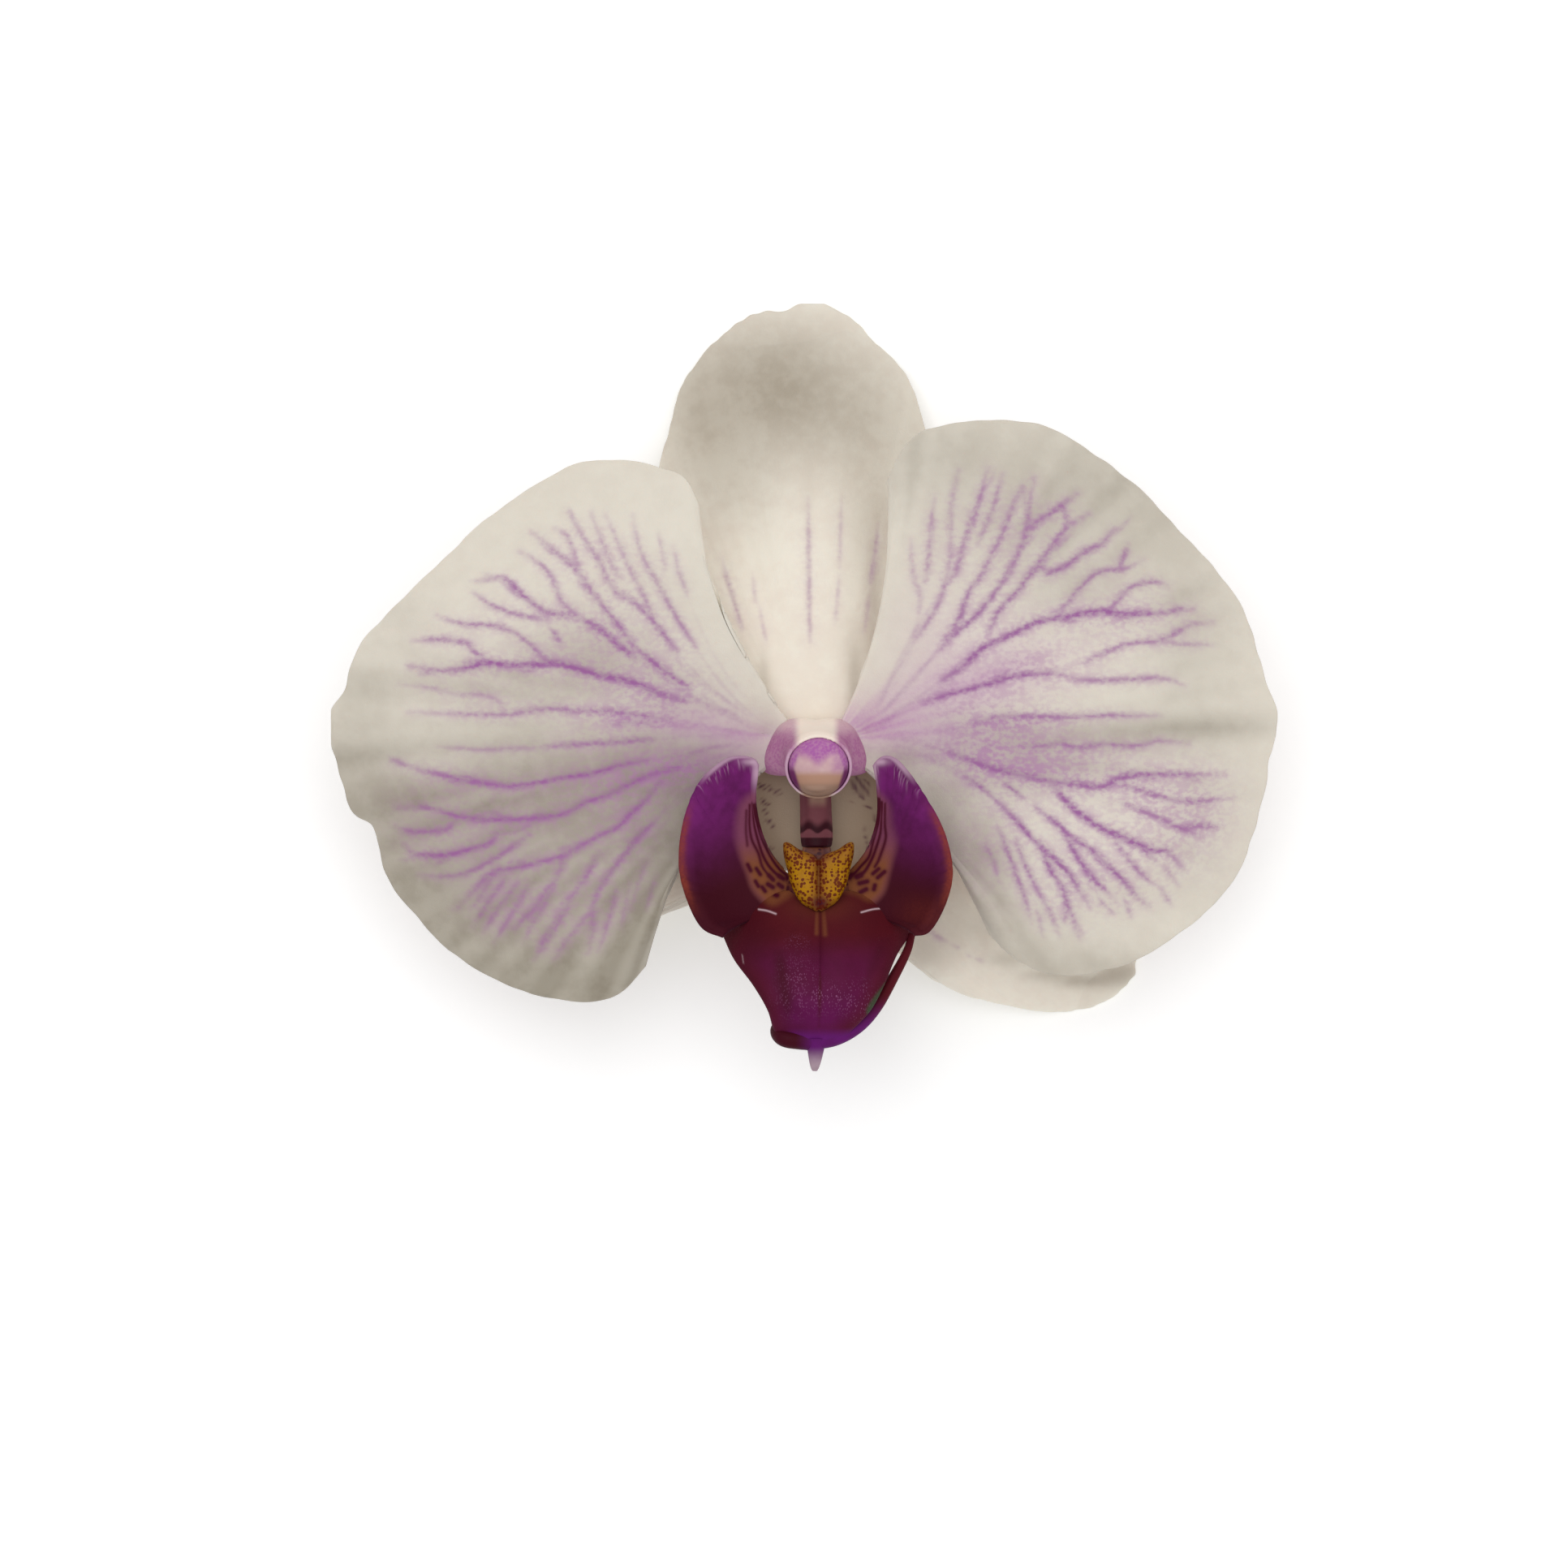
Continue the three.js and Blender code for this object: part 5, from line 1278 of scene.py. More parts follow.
def tube_points(path, radius, shape=None):
    """The points of a tube along a smooth path. radius(t) is its radius and shape(turn, t) its ribs."""
    line = smooth_line(path, 240)
    places = np.linspace(0, 1, len(line))
    tangent = np.gradient(line, axis=0)
    tangent /= np.linalg.norm(tangent, axis=1)[:, None]
    side = np.empty_like(line)
    side[0] = np.cross(tangent[0], (0.3, 0.2, 0.9) if abs(tangent[0][2]) < 0.9 else (1, 0, 0))
    for i in range(1, len(line)):
        side[i] = side[i - 1] - tangent[i] * (side[i - 1] @ tangent[i])
    side /= np.linalg.norm(side, axis=1)[:, None]
    up = np.cross(tangent, side)

    def points_at(turn, t):
        r = radius(t) * (shape(turn, t) if shape else 1)
        centre, right, over = (
            np.column_stack([np.interp(t, places, values[:, k]) for k in range(3)])
            for values in (line, side, up)
        )
        return centre + right * (r * np.cos(turn))[:, None] + over * (r * np.sin(turn))[:, None]

    return points_at


def stack_points(stack):
    """The points of a body through a stack of ellipses: the centre, its direction, and its two radii."""
    table = np.array([[*centre, *direction, wide, tall] for centre, direction, wide, tall in stack])
    line = smooth_line(table, 200)
    places = np.linspace(0, 1, len(line))

    def points_at(turn, t):
        values = np.column_stack([np.interp(t, places, line[:, k]) for k in range(8)])
        centre, direction = values[:, :3], values[:, 3:6]
        direction = direction / np.linalg.norm(direction, axis=1)[:, None]
        right = np.array((1.0, 0, 0)) - direction * direction[:, :1]
        right /= np.linalg.norm(right, axis=1)[:, None]
        up = np.cross(direction, right)
        across, over = values[:, 6] * np.cos(turn), values[:, 7] * np.sin(turn)
        return centre + right * across[:, None] + up * over[:, None]

    return points_at


def egg(name, centre, radii, rings=48):
    """An ellipsoid whose third radius lies along the column."""
    bpy.ops.object.select_all(action="DESELECT")
    bpy.ops.mesh.primitive_uv_sphere_add(segments=2 * rings, ring_count=rings, radius=1)
    piece = bpy.context.active_object
    give_name(piece, name)
    set_points(piece, centre + (stored(piece, "co") * radii) @ column_basis())
    return piece


def column_basis():
    """The directions across the column, up its slope and along it."""
    up = np.array((0, 1.0, 0)) - COLUMN_AXIS * COLUMN_AXIS[1]
    up /= np.linalg.norm(up)
    return np.array((np.cross(up, COLUMN_AXIS), up, COLUMN_AXIS))


def joined(name, pieces):
    """Joins pieces into one, which the first of them becomes."""
    select_only(pieces[0])
    for other in pieces[1:]:
        other.select_set(True)
    bpy.ops.object.join()
    give_name(pieces[0], name)
    return pieces[0]


def cut_by(piece, cutter):
    """Cuts the cutter out of the piece and removes it."""
    finish_with(piece, "BOOLEAN", operation="DIFFERENCE", solver="EXACT", object=cutter)
    bpy.data.objects.remove(cutter)


def fused(piece, grain, rounds):
    """Fuses overlapping bodies into one even skin, and softens its creases."""
    finish_with(piece, "REMESH", mode="VOXEL", voxel_size=grain * MM, use_smooth_shade=True)
    finish_with(piece, "SMOOTH", factor=0.5, iterations=rounds)


def along_column(distance):
    """A place on the column's axis, measured from the middle of the cap."""
    return CAP_CENTRE + COLUMN_AXIS * distance


# Materials
def add_node(tree, kind, sockets=None, **options):
    """Adds a node. A socket is given a number or colour, or another node's output."""
    node = tree.nodes.new(kind)
    for option, value in options.items():
        setattr(node, option, value)
    for socket, value in (sockets or {}).items():
        if isinstance(value, bpy.types.NodeSocket):
            tree.links.new(value, node.inputs[socket])
        else:
            node.inputs[socket].default_value = value
    return node


def mixed(tree, factor, low, high):
    """One colour laid over another."""
    return add_node(tree, "ShaderNodeMix", {0: factor, 6: low, 7: high}, data_type="RGBA").outputs[2]


def maths(tree, operation, first, second=0.5, clamp=False):
    """One step of arithmetic."""
    sockets = {0: first, 1: second}
    return add_node(tree, "ShaderNodeMath", sockets, operation=operation, use_clamp=clamp).outputs[0]


def ranged(tree, value, low, high, low_out=0.0, high_out=1.0):
    """A value's range from low to high, spread smoothly over another one."""
    sockets = {0: value, 1: low, 2: high, 3: low_out, 4: high_out}
    return add_node(tree, "ShaderNodeMapRange", sockets, interpolation_type="SMOOTHSTEP").outputs[0]


def noise(tree, vector, scale, detail=2.0, roughness=0.5):
    """Soft noise round a half."""
    sockets = {"Vector": vector, "Scale": scale, "Detail": detail, "Roughness": roughness}
    return add_node(tree, "ShaderNodeTexNoise", sockets).outputs[0]


def cell_texture(tree, vector, scale, randomness=1):
    """A pattern of cells."""
    sockets = {"Vector": vector, "Scale": scale, "Randomness": randomness}
    return add_node(tree, "ShaderNodeTexVoronoi", sockets, feature="F1")


def blend(tree, first, first_share, second, second_share):
    """The sum of two values, each multiplied by its share."""
    parts = (maths(tree, "MULTIPLY", first, first_share), maths(tree, "MULTIPLY", second, second_share))
    return maths(tree, "ADD", *parts)


def stretched(tree, vector, scale):
    """Coordinates stretched along their axes."""
    return add_node(tree, "ShaderNodeMapping", {"Vector": vector, "Scale": scale}).outputs[0]


def tint(name):
    """One of the bloom's colours, as a socket takes it."""
    return (*getattr(bpy.context.scene.bloom_colors, name), 1)


def new_group(name, inputs, outputs):
    """An empty node group with its named inputs and outputs."""
    tree = bpy.data.node_groups.new(name, "ShaderNodeTree")
    for socket, kind in inputs.items():
        tree.interface.new_socket(socket, in_out="INPUT", socket_type=kind)
    for socket in outputs:
        tree.interface.new_socket(socket, in_out="OUTPUT", socket_type="NodeSocketFloat")
    return tree, tree.nodes.new("NodeGroupInput"), tree.nodes.new("NodeGroupOutput")


def grain_group():
    """Ink that has sunk into the cells: the mask comes out broken into fine and coarse grains."""
    inputs = {"Vector": "NodeSocketVector", "Ink": "NodeSocketFloat", "Break": "NodeSocketFloat"}
    tree, given, result = new_group("Grainy ink", inputs, ("Mask",))
    fine = noise(tree, given.outputs["Vector"], 3600)
    coarse = noise(tree, given.outputs["Vector"], 900)
    grain = blend(tree, fine, 0.6, coarse, 0.4)
    lost = maths(tree, "MULTIPLY", ranged(tree, grain, 0.62, 0.38), given.outputs["Break"])
    kept = maths(tree, "SUBTRACT", 1, lost)
    mask = maths(tree, "MULTIPLY", given.outputs["Ink"], kept, clamp=True)
    tree.links.new(mask, result.inputs["Mask"])
    return tree


def skin_group():
    """The skin of petals and sepals: soft mottling, and a height for its cells and small wrinkles."""
    tree, given, result = new_group("Petal skin", {"Vector": "NodeSocketVector"}, ("Mottle", "Height"))
    vector = given.outputs["Vector"]
    clouds = noise(tree, vector, 120, 3, 0.6)
    blotches = noise(tree, vector, 620, 2, 0.6)
    mottle = blend(tree, clouds, 0.55, blotches, 0.45)
    tree.links.new(ranged(tree, mottle, 0.36, 0.64), result.inputs["Mottle"])
    cells = cell_texture(tree, vector, 6500).outputs["Distance"]
    wrinkles = noise(tree, vector, 1500, 3, 0.6)
    tree.links.new(blend(tree, cells, -0.25, wrinkles, 0.75), result.inputs["Height"])
    return tree


def spots_group():
    """Small round spots of uneven size."""
    inputs = {"Vector": "NodeSocketVector", "Count": "NodeSocketFloat", "Size": "NodeSocketFloat"}
    tree, given, result = new_group("Small spots", inputs, ("Mask",))
    cells = cell_texture(tree, given.outputs["Vector"], given.outputs["Count"], 0.75)
    uneven = noise(tree, given.outputs["Vector"], 1400, 1)
    reach = maths(tree, "MULTIPLY", given.outputs["Size"], ranged(tree, uneven, 0.35, 0.65, 0.75, 1.2))
    gap = maths(tree, "SUBTRACT", reach, cells.outputs["Distance"])
    tree.links.new(ranged(tree, gap, -0.04, 0.06), result.inputs["Mask"])
    return tree


GROUPS = {}
GROUP_BUILDERS = {"grain": grain_group, "skin": skin_group, "spots": spots_group}


def use_group(tree, key, sockets):
    """Places a shared group in a material with its own values. The group is built when it is first used."""
    if key not in GROUPS:
        GROUPS[key] = GROUP_BUILDERS[key]()
    return add_node(tree, "ShaderNodeGroup", sockets, node_tree=GROUPS[key])


def new_material(name):
    """A material, its node tree, its shader and its Object coordinates."""
    material = bpy.data.materials.new(name)
    material.use_nodes = True
    tree = material.node_tree
    shader = tree.nodes["Principled BSDF"]
    coordinates = tree.nodes.new("ShaderNodeTexCoord")
    return material, tree, shader, coordinates.outputs["Object"]


class Tissue:
    """A material of the bloom. Its colours are laid over one another, from the plain one up."""

    def __init__(self, name, plain):
        self.material, self.tree, self.shader, self.place = new_material(name)
        skin = use_group(self.tree, "skin", {"Vector": self.place})
        self.mottle = skin.outputs["Mottle"]
        self.relief = skin.outputs["Height"]
        self.color = tint(plain)

    def painted(self, name):
        """A number that the piece is painted with."""
        return add_node(self.tree, "ShaderNodeAttribute", attribute_name=name).outputs["Fac"]

    def masked(self, mask, strength):
        """A mask at its strength. It is given as the name of a painted one, or as another node's output."""
        value = self.painted(mask) if isinstance(mask, str) else mask
        return value if strength == 1 else maths(self.tree, "MULTIPLY", value, strength)

    def lay(self, mask, color, strength=1):
        """Lays a colour over the others where the mask is."""
        self.color = mixed(self.tree, self.masked(mask, strength), self.color, tint(color))

    def emboss(self, mask, amount):
        """Raises the relief where the mask is, or sinks it by an amount below 0."""
        self.relief = maths(self.tree, "ADD", self.relief, self.masked(mask, amount))

    def grains(self, ink, loss, vector=None):
        """A painted mask, broken into grains as ink is by the cells."""
        place = self.place if vector is None else vector
        sockets = {"Vector": place, "Ink": self.painted(ink), "Break": loss}
        return use_group(self.tree, "grain", sockets).outputs["Mask"]

    def spots(self, count, size, vector=None):
        """A mask of small round spots."""
        place = self.place if vector is None else vector
        sockets = {"Vector": place, "Count": count, "Size": size}
        return use_group(self.tree, "spots", sockets).outputs["Mask"]

    def finish(self, bump, depth, flesh=None, **constants):
        """Connects the colour and the relief, and sets on the shader what is the same all over.

        flesh is how much light enters the piece, as it enters a flower's watery tissue, and how far each
        colour of it travels.
        """
        self.tree.links.new(self.color, self.shader.inputs["Base Color"])
        sockets = {"Strength": bump, "Distance": depth * MM, "Height": self.relief}
        relief = add_node(self.tree, "ShaderNodeBump", sockets)
        self.tree.links.new(relief.outputs[0], self.shader.inputs["Normal"])
        if flesh:
            constants["Subsurface_Weight"], constants["Subsurface_Radius"] = flesh
            constants["Subsurface_Scale"] = FLESH_DEPTH * MM
        for socket, value in constants.items():
            self.shader.inputs[socket.replace("_", " ")].default_value = value
        return self.material


def blade_material(name, plain, mottle, painted_shade, back, throat=False):
    """Petals and sepals: cream tissue with veins, blush and haze painted into it, and grey painted shade
    where they lie in shade.
    """
    tissue = Tissue(name, mottle)
    tree = tissue.tree
    under = tissue.painted("underside")
    drift = stretched(tree, tissue.place, (0.46, 0.62, 1))
    tissue.lay(tissue.mottle, plain)
    clouded = ranged(tree, tissue.mottle, 0, 1, 1, 0.88)
    # Painted shade, a little weaker in the lighter patches of the mottle
    tissue.lay(maths(tree, "MULTIPLY", tissue.painted("painted_shade"), clouded), painted_shade)
    tissue.lay(under, back, 0.35)
    if throat:
        # Painted shade in the recess behind the column's foot, with the throat's spots over it
        tissue.lay("throat", "throat")
        tissue.lay("spot", "throat_spot")
    tissue.lay(tissue.grains("blush", loss=0.18), "blush")
    tissue.lay(tissue.grains("haze", loss=0.8, vector=drift), "haze")
    shown = ranged(tree, under, 0, 1, 1, 0.35)
    ink = tissue.grains("vein", loss=0.34, vector=drift)
    tissue.lay(maths(tree, "MULTIPLY", ink, shown), "vein")
    tissue.emboss("vein", -0.35)
    return tissue.finish(
        bump=0.45,
        depth=0.08,
        flesh=(0.12, (1, 0.75, 0.6)),
        Roughness=0.5,
        Sheen_Weight=0.12,
        Sheen_Roughness=0.4,
        Specular_IOR_Level=0.35,
    )


def velvet_material():
    """The side lobes: violet velvet with a striped inner band and a pale upper rim."""
    tissue = Tissue("lip_velvet", "velvet_deep")
    tree = tissue.tree
    uv = add_node(tree, "ShaderNodeUVMap", uv_map="UVMap").outputs[0]
    streaks = noise(tree, stretched(tree, uv, (90, 5, 1)), 1, 2)
    tissue.lay(tissue.mottle, "velvet")
    # Painted shade: darker towards the bottom of the side lobes
    tissue.lay("dark", "lip_dark")
    tissue.lay("band", "lip_band")
    tissue.lay("amber", "lip_amber")
    tissue.lay("stripe", "lip_stripe")
    tissue.lay(tissue.grains("ember", loss=0.3), "lip_ember")
    ray = maths(tree, "MULTIPLY", ranged(tree, streaks, 0.5, 0.72), tissue.painted("streak_room"))
    pale = maths(tree, "MAXIMUM", tissue.masked(ray, 0.42), tissue.painted("pale"), clamp=True)
    tissue.lay(pale, "lip_pale")
    # Painted highlights: the glints
    tissue.lay("glint", "glint")
    tissue.emboss(streaks, 0.2)
    return tissue.finish(
        bump=0.4,
        depth=0.1,
        Roughness=0.6,
        Sheen_Weight=0.06,
        Sheen_Roughness=0.35,
        Sheen_Tint=(0.75, 0.45, 0.8, 1),
        Specular_IOR_Level=0.08,
    )


def midlobe_material():
    """The middle lobe: waxy maroon that turns violet, with painted highlights on its tiny cells, painted
    glints, and painted shade in its folds, down its groove and beside the right tendril.
    """
    tissue = Tissue("lip_wax", "midlobe")
    longer = stretched(tissue.tree, tissue.place, (1, 0.45, 1))
    cells = tissue.spots(count=6800, size=0.3, vector=longer)
    tissue.lay("violet", "midlobe_violet")
    tissue.lay(tissue.mottle, "lip_dark", 0.3)
    tissue.lay("amber", "lip_amber", 0.6)
    tissue.lay("band", "lip_amber", 0.85)
    tissue.lay("stripe", "lip_stripe")
    # Painted shade in the folds
    tissue.lay("fold_shade", "lip_dark")
    # Painted shade down the groove
    tissue.lay("groove", "lip_stripe")
    tissue.lay("edge", "lip_dark", 0.6)
    tissue.lay("tip", "tip_violet")
    # Painted shade beside the right tendril
    tissue.lay("slit_shade_area", "slit_shade")
    # Painted highlights on the tiny cells
    tissue.lay(maths(tissue.tree, "MULTIPLY", cells, tissue.painted("sparkle")), "sparkle", 0.3)
    # Painted highlights: the glints
    tissue.lay("glint", "glint")
    tissue.emboss(cells, 0.4)
    return tissue.finish(bump=0.4, depth=0.08, Roughness=0.5, Specular_IOR_Level=0.06)


def tip_material(name, start, end, low, high, axis):
    """A tendril or the nib, whose colour changes along one axis between two places."""
    tissue = Tissue(name, start)
    part = add_node(tissue.tree, "ShaderNodeSeparateXYZ", {0: tissue.place}).outputs[axis]
    share = ranged(tissue.tree, part, (low + SHIFT[axis]) * MM, (high + SHIFT[axis]) * MM)
    tissue.lay(share, end)
    tissue.lay(tissue.mottle, "lip_dark", 0.3)
    return tissue.finish(bump=0.4, depth=0.08, Roughness=0.5, Specular_IOR_Level=0.05)


def throat_material():
    """The disc and claw under the callus."""
    tissue = Tissue("lip_floor", "lip_stripe")
    tissue.lay(tissue.mottle, "lip_amber")
    tissue.lay(tissue.spots(count=1500, size=0.34), "lip_dark")
    return tissue.finish(bump=0.5, depth=0.1, Roughness=0.45)


def callus_material():
    """The callus: waxy yellow with small dark spots, browner at its horns and in its groove, with maroon
    stains at the groove's ends and a painted shade down the groove.
    """
    tissue = Tissue("callus_wax", "callus")
    tree = tissue.tree
    spots = tissue.spots(count=2750, size=0.47)
    clouds = ranged(tree, noise(tree, tissue.place, 900, 2), 0.4, 0.62)
    ochre = maths(tree, "MAXIMUM", tissue.painted("horn"), tissue.masked(clouds, 0.5), clamp=True)
    tissue.lay(ochre, "callus_horn")
    # Maroon stains, and a painted shade down the groove
    tissue.lay("stain_and_groove_shade", "lip_stripe")
    tissue.lay(spots, "callus_spot", 0.92)
    tissue.emboss(spots, -0.3)
    return tissue.finish(
        bump=0.4,
        depth=0.1,
        flesh=(0.06, (1, 0.6, 0.2)),
        Roughness=0.45,
        Coat_Weight=0.03,
        Coat_Roughness=0.3,
        Specular_IOR_Level=0.1,
    )


def column_material():
    """The column: cream on top, pink wings, a violet hood darkened as painted shade, a painted shade below
    the cap and a maroon foot.
    """
    tissue = Tissue("column_flesh", "column")
    tissue.lay(tissue.mottle, "sepal", 0.4)
    tissue.lay(tissue.grains("wing", loss=0.12), "column_wing")
    # The hood's violet inside, darker as painted shade
    tissue.lay("hood", "hood")
    tissue.lay("foot", "foot")
    # Painted shade below the cap, in the cap's shade colour
    tissue.lay("shade_below_cap", "cap_shade")
    tissue.lay("foot_band", "foot_band")
    tissue.lay("rim", "lip_pale")
    return tissue.finish(
        bump=0.3,
        depth=0.08,
        flesh=(0.1, (1, 0.6, 0.6)),
        Roughness=0.5,
        Specular_IOR_Level=0.1,
    )


def cap_material():
    """The anther cap: pale with a tan front and a violet crown; its dark violet sides are painted shade of
    the hood's inside, and its lower edge a painted shade.
    """
    tissue = Tissue("cap_flesh", "cap")
    tissue.lay(tissue.mottle, "column", 0.3)
    tissue.lay("tan", "cap_tan")
    tissue.lay("shade", "cap_shade")
    tissue.lay(tissue.grains("crown", loss=0.3), "cap_crown")
    # Painted shade: the cap's sides in the hood's dark colour
    tissue.lay("side", "hood")
    return tissue.finish(
        bump=0.3,
        depth=0.08,
        flesh=(0.12, (1, 0.6, 0.5)),
        Roughness=0.45,
        Specular_IOR_Level=0.25,
    )


def pollen_material():
    """The waxy pollen masses."""
    tissue = Tissue("pollen_wax", "pollen")
    tissue.lay(tissue.mottle, "callus_horn")
    return tissue.finish(bump=0.3, depth=0.05, Roughness=0.3, Coat_Weight=0.3)


def stalk_material():
    """The ovary and stalk: green, with a blush on the ribs and fine pale dots."""
    tissue = Tissue("stalk_skin", "stalk")
    tissue.lay(tissue.mottle, "back_green", 0.5)
    tissue.lay("rib", "stalk_rib", 0.55)
    tissue.lay(tissue.spots(count=1900, size=0.16), "petal", 0.4)
    tissue.lay("cut", "sepal")
    return tissue.finish(
        bump=0.4,
        depth=0.1,
        flesh=(0.1, (0.7, 0.9, 0.3)),
        Roughness=0.4,
        Coat_Weight=0.1,
    )


# Operators
class BLOOM_OT_stage(bpy.types.Operator):
    """Make the camera, the white table and the soft light."""

    bl_idname = "bloom.stage"
    bl_label = "Stage"

    def execute(self, context):
        studio = context.scene.bloom_studio
        middle = (Vector((*VIEW_CENTRE, VIEW_HEIGHT)) + Vector(SHIFT)) * MM
        self.camera(middle)
        self.table(studio)
        self.area_light("key_light", middle, KEY_PLACE, studio.key_power)
        self.area_light("fill_light", middle, FILL_PLACE, studio.fill_power)
        self.sky(studio)
        context.scene.view_settings.view_transform = "Standard"
        return {"FINISHED"}

    def camera(self, middle):
        data = bpy.data.cameras.new("camera")
        data.sensor_width = SENSOR
        data.lens = SENSOR * CAMERA_DISTANCE / VIEW_WIDTH
        data.clip_start = 0.05
        data.clip_end = 20
        camera = bpy.data.objects.new("camera", data)
        camera.location = middle + Vector((0, 0, CAMERA_DISTANCE * MM))
        bpy.context.scene.collection.objects.link(camera)
        bpy.context.scene.camera = camera

    def table(self, studio):
        bpy.ops.object.select_all(action="DESELECT")
        bpy.ops.mesh.primitive_plane_add(size=TABLE_SIZE)
        table = bpy.context.active_object
        table.name = "table"
        material, _, shader, _ = new_material("table_white")
        shader.inputs["Base Color"].default_value = (0.92, 0.92, 0.92, 1)
        shader.inputs["Roughness"].default_value = 0.9
        shader.inputs["Emission Color"].default_value = (1, 1, 1, 1)
        shader.inputs["Emission Strength"].default_value = studio.floor_glow
        table.data.materials.append(material)

    def area_light(self, name, target, place, power):
        data = bpy.data.lights.new(name, "AREA")
        data.size = LIGHT_SIZE
        data.energy = power
        light = bpy.data.objects.new(name, data)
        light.location = Vector(place)
        light.rotation_euler = (target - light.location).to_track_quat("-Z", "Y").to_euler()
        bpy.context.scene.collection.objects.link(light)

    def sky(self, studio):
        world = bpy.data.worlds.new("sky")
        world.use_nodes = True
        tree = world.node_tree
        seen = tree.nodes.new("ShaderNodeLightPath").outputs["Is Camera Ray"]
        strength = ranged(tree, seen, 0, 1, studio.sky, 1)
        background = tree.nodes["Background"]
        background.inputs["Color"].default_value = (1, 1, 1, 1)
        tree.links.new(strength, background.inputs["Strength"])
        bpy.context.scene.world = world


class BLOOM_OT_petals(bpy.types.Operator):
    """Make the two veined petals."""

    bl_idname = "bloom.petals"
    bl_label = "Petals"

    def execute(self, context):
        sizes = context.scene.bloom_sizes
        material = blade_material("petal_flesh", "petal", "petal_mottle", "petal_painted_shade", "petal_mottle")
        for petal in PETALS:
            piece = blade(
                petal["piece"],
                petal["shape"],
                PETAL_GRID,
                petal_height(petal),
                sizes.petal_thickness,
                petal_masks(petal),
                sizes.margin_dent,
                petal["seed"] + 2,
            )
            complete(piece, material, "petal", petal["node"])
        return {"FINISHED"}


class BLOOM_OT_sepals(bpy.types.Operator):
    """Make the three sepals behind the petals."""

    bl_idname = "bloom.sepals"
    bl_label = "Sepals"

    def execute(self, context):
        sizes = context.scene.bloom_sizes
        colors = ("sepal", "sepal_mottle", "sepal_painted_shade", "back_green")
        upper = blade_material("sepal_flesh", *colors)
        lower = blade_material("lower_sepal_flesh", *colors, throat=True)
        for sepal in SEPALS:
            piece = blade(
                sepal["piece"],
                sepal["shape"],
                sepal["grid"],
                sepal_height(sepal),
                sizes.sepal_thickness,
                sepal_masks(sepal),
                sizes.margin_dent,
                sepal["seed"] + 1,
            )
            complete(piece, lower if sepal["throat"] else upper, "sepal", sepal["node"])
        return {"FINISHED"}


class BLOOM_OT_side_lobes(bpy.types.Operator):
    """Make the two velvety side lobes of the lip."""

    bl_idname = "bloom.side_lobes"
    bl_label = "Side lobes"

    def execute(self, context):
        thickness = context.scene.bloom_sizes.lip_thickness
        material = velvet_material()
        for lobe in SIDE_LOBES:
            height = lobe_height(lobe["side"])
            piece = blade(lobe["piece"], lobe["shape"], LOBE_GRID, height, thickness, lobe_masks(lobe))
            complete(piece, material, "lip", "lip")
        return {"FINISHED"}


class BLOOM_OT_middle_lobe(bpy.types.Operator):
    """Make the middle lobe of the lip with its nib and its two tendrils."""

    bl_idname = "bloom.middle_lobe"
    bl_label = "Middle lobe"

    def execute(self, context):
        thickness = context.scene.bloom_sizes.lip_thickness
        lobe = blade("middle_lobe", MIDLOBE, LOBE_GRID, midlobe_height, thickness, midlobe_masks)
        complete(lobe, midlobe_material(), "lip", "lip")
        for tendril in TENDRILS:
            name = tendril["piece"]
            tube = tube_points(tendril["path"], lambda t: mix(*tendril["radii"], t))
            wax = tip_material(f"{name}_wax", *tendril["wax"])
            complete(rolled(name, 24, tendril["rings"], tube), wax, "lip", "lip")
        nib = rolled("nib", 24, 50, tube_points(NIB, self.nib_radius))
        complete(nib, tip_material("nib_wax", "nib", "tip_violet", -34, -31.8, 1), "lip", "lip")
        return {"FINISHED"}

    def nib_radius(self, t):
        return mix(1.25, 0.5, t**0.6) * np.sqrt(1 - 0.75 * t**6)


class BLOOM_OT_lip_floor(bpy.types.Operator):
    """Make the disc under the callus and the claw that joins the lip to the column's foot."""

    bl_idname = "bloom.lip_floor"
    bl_label = "Lip floor"

    def execute(self, context):
        disc = rolled("disc", 48, 30, stack_points(DISC_STACK))
        claw = rolled("claw", 36, 30, stack_points(CLAW_STACK))
        floor = joined("lip_floor", [disc, claw])
        fused(floor, grain=0.14, rounds=6)
        complete(floor, throat_material(), "lip", "lip")
        return {"FINISHED"}


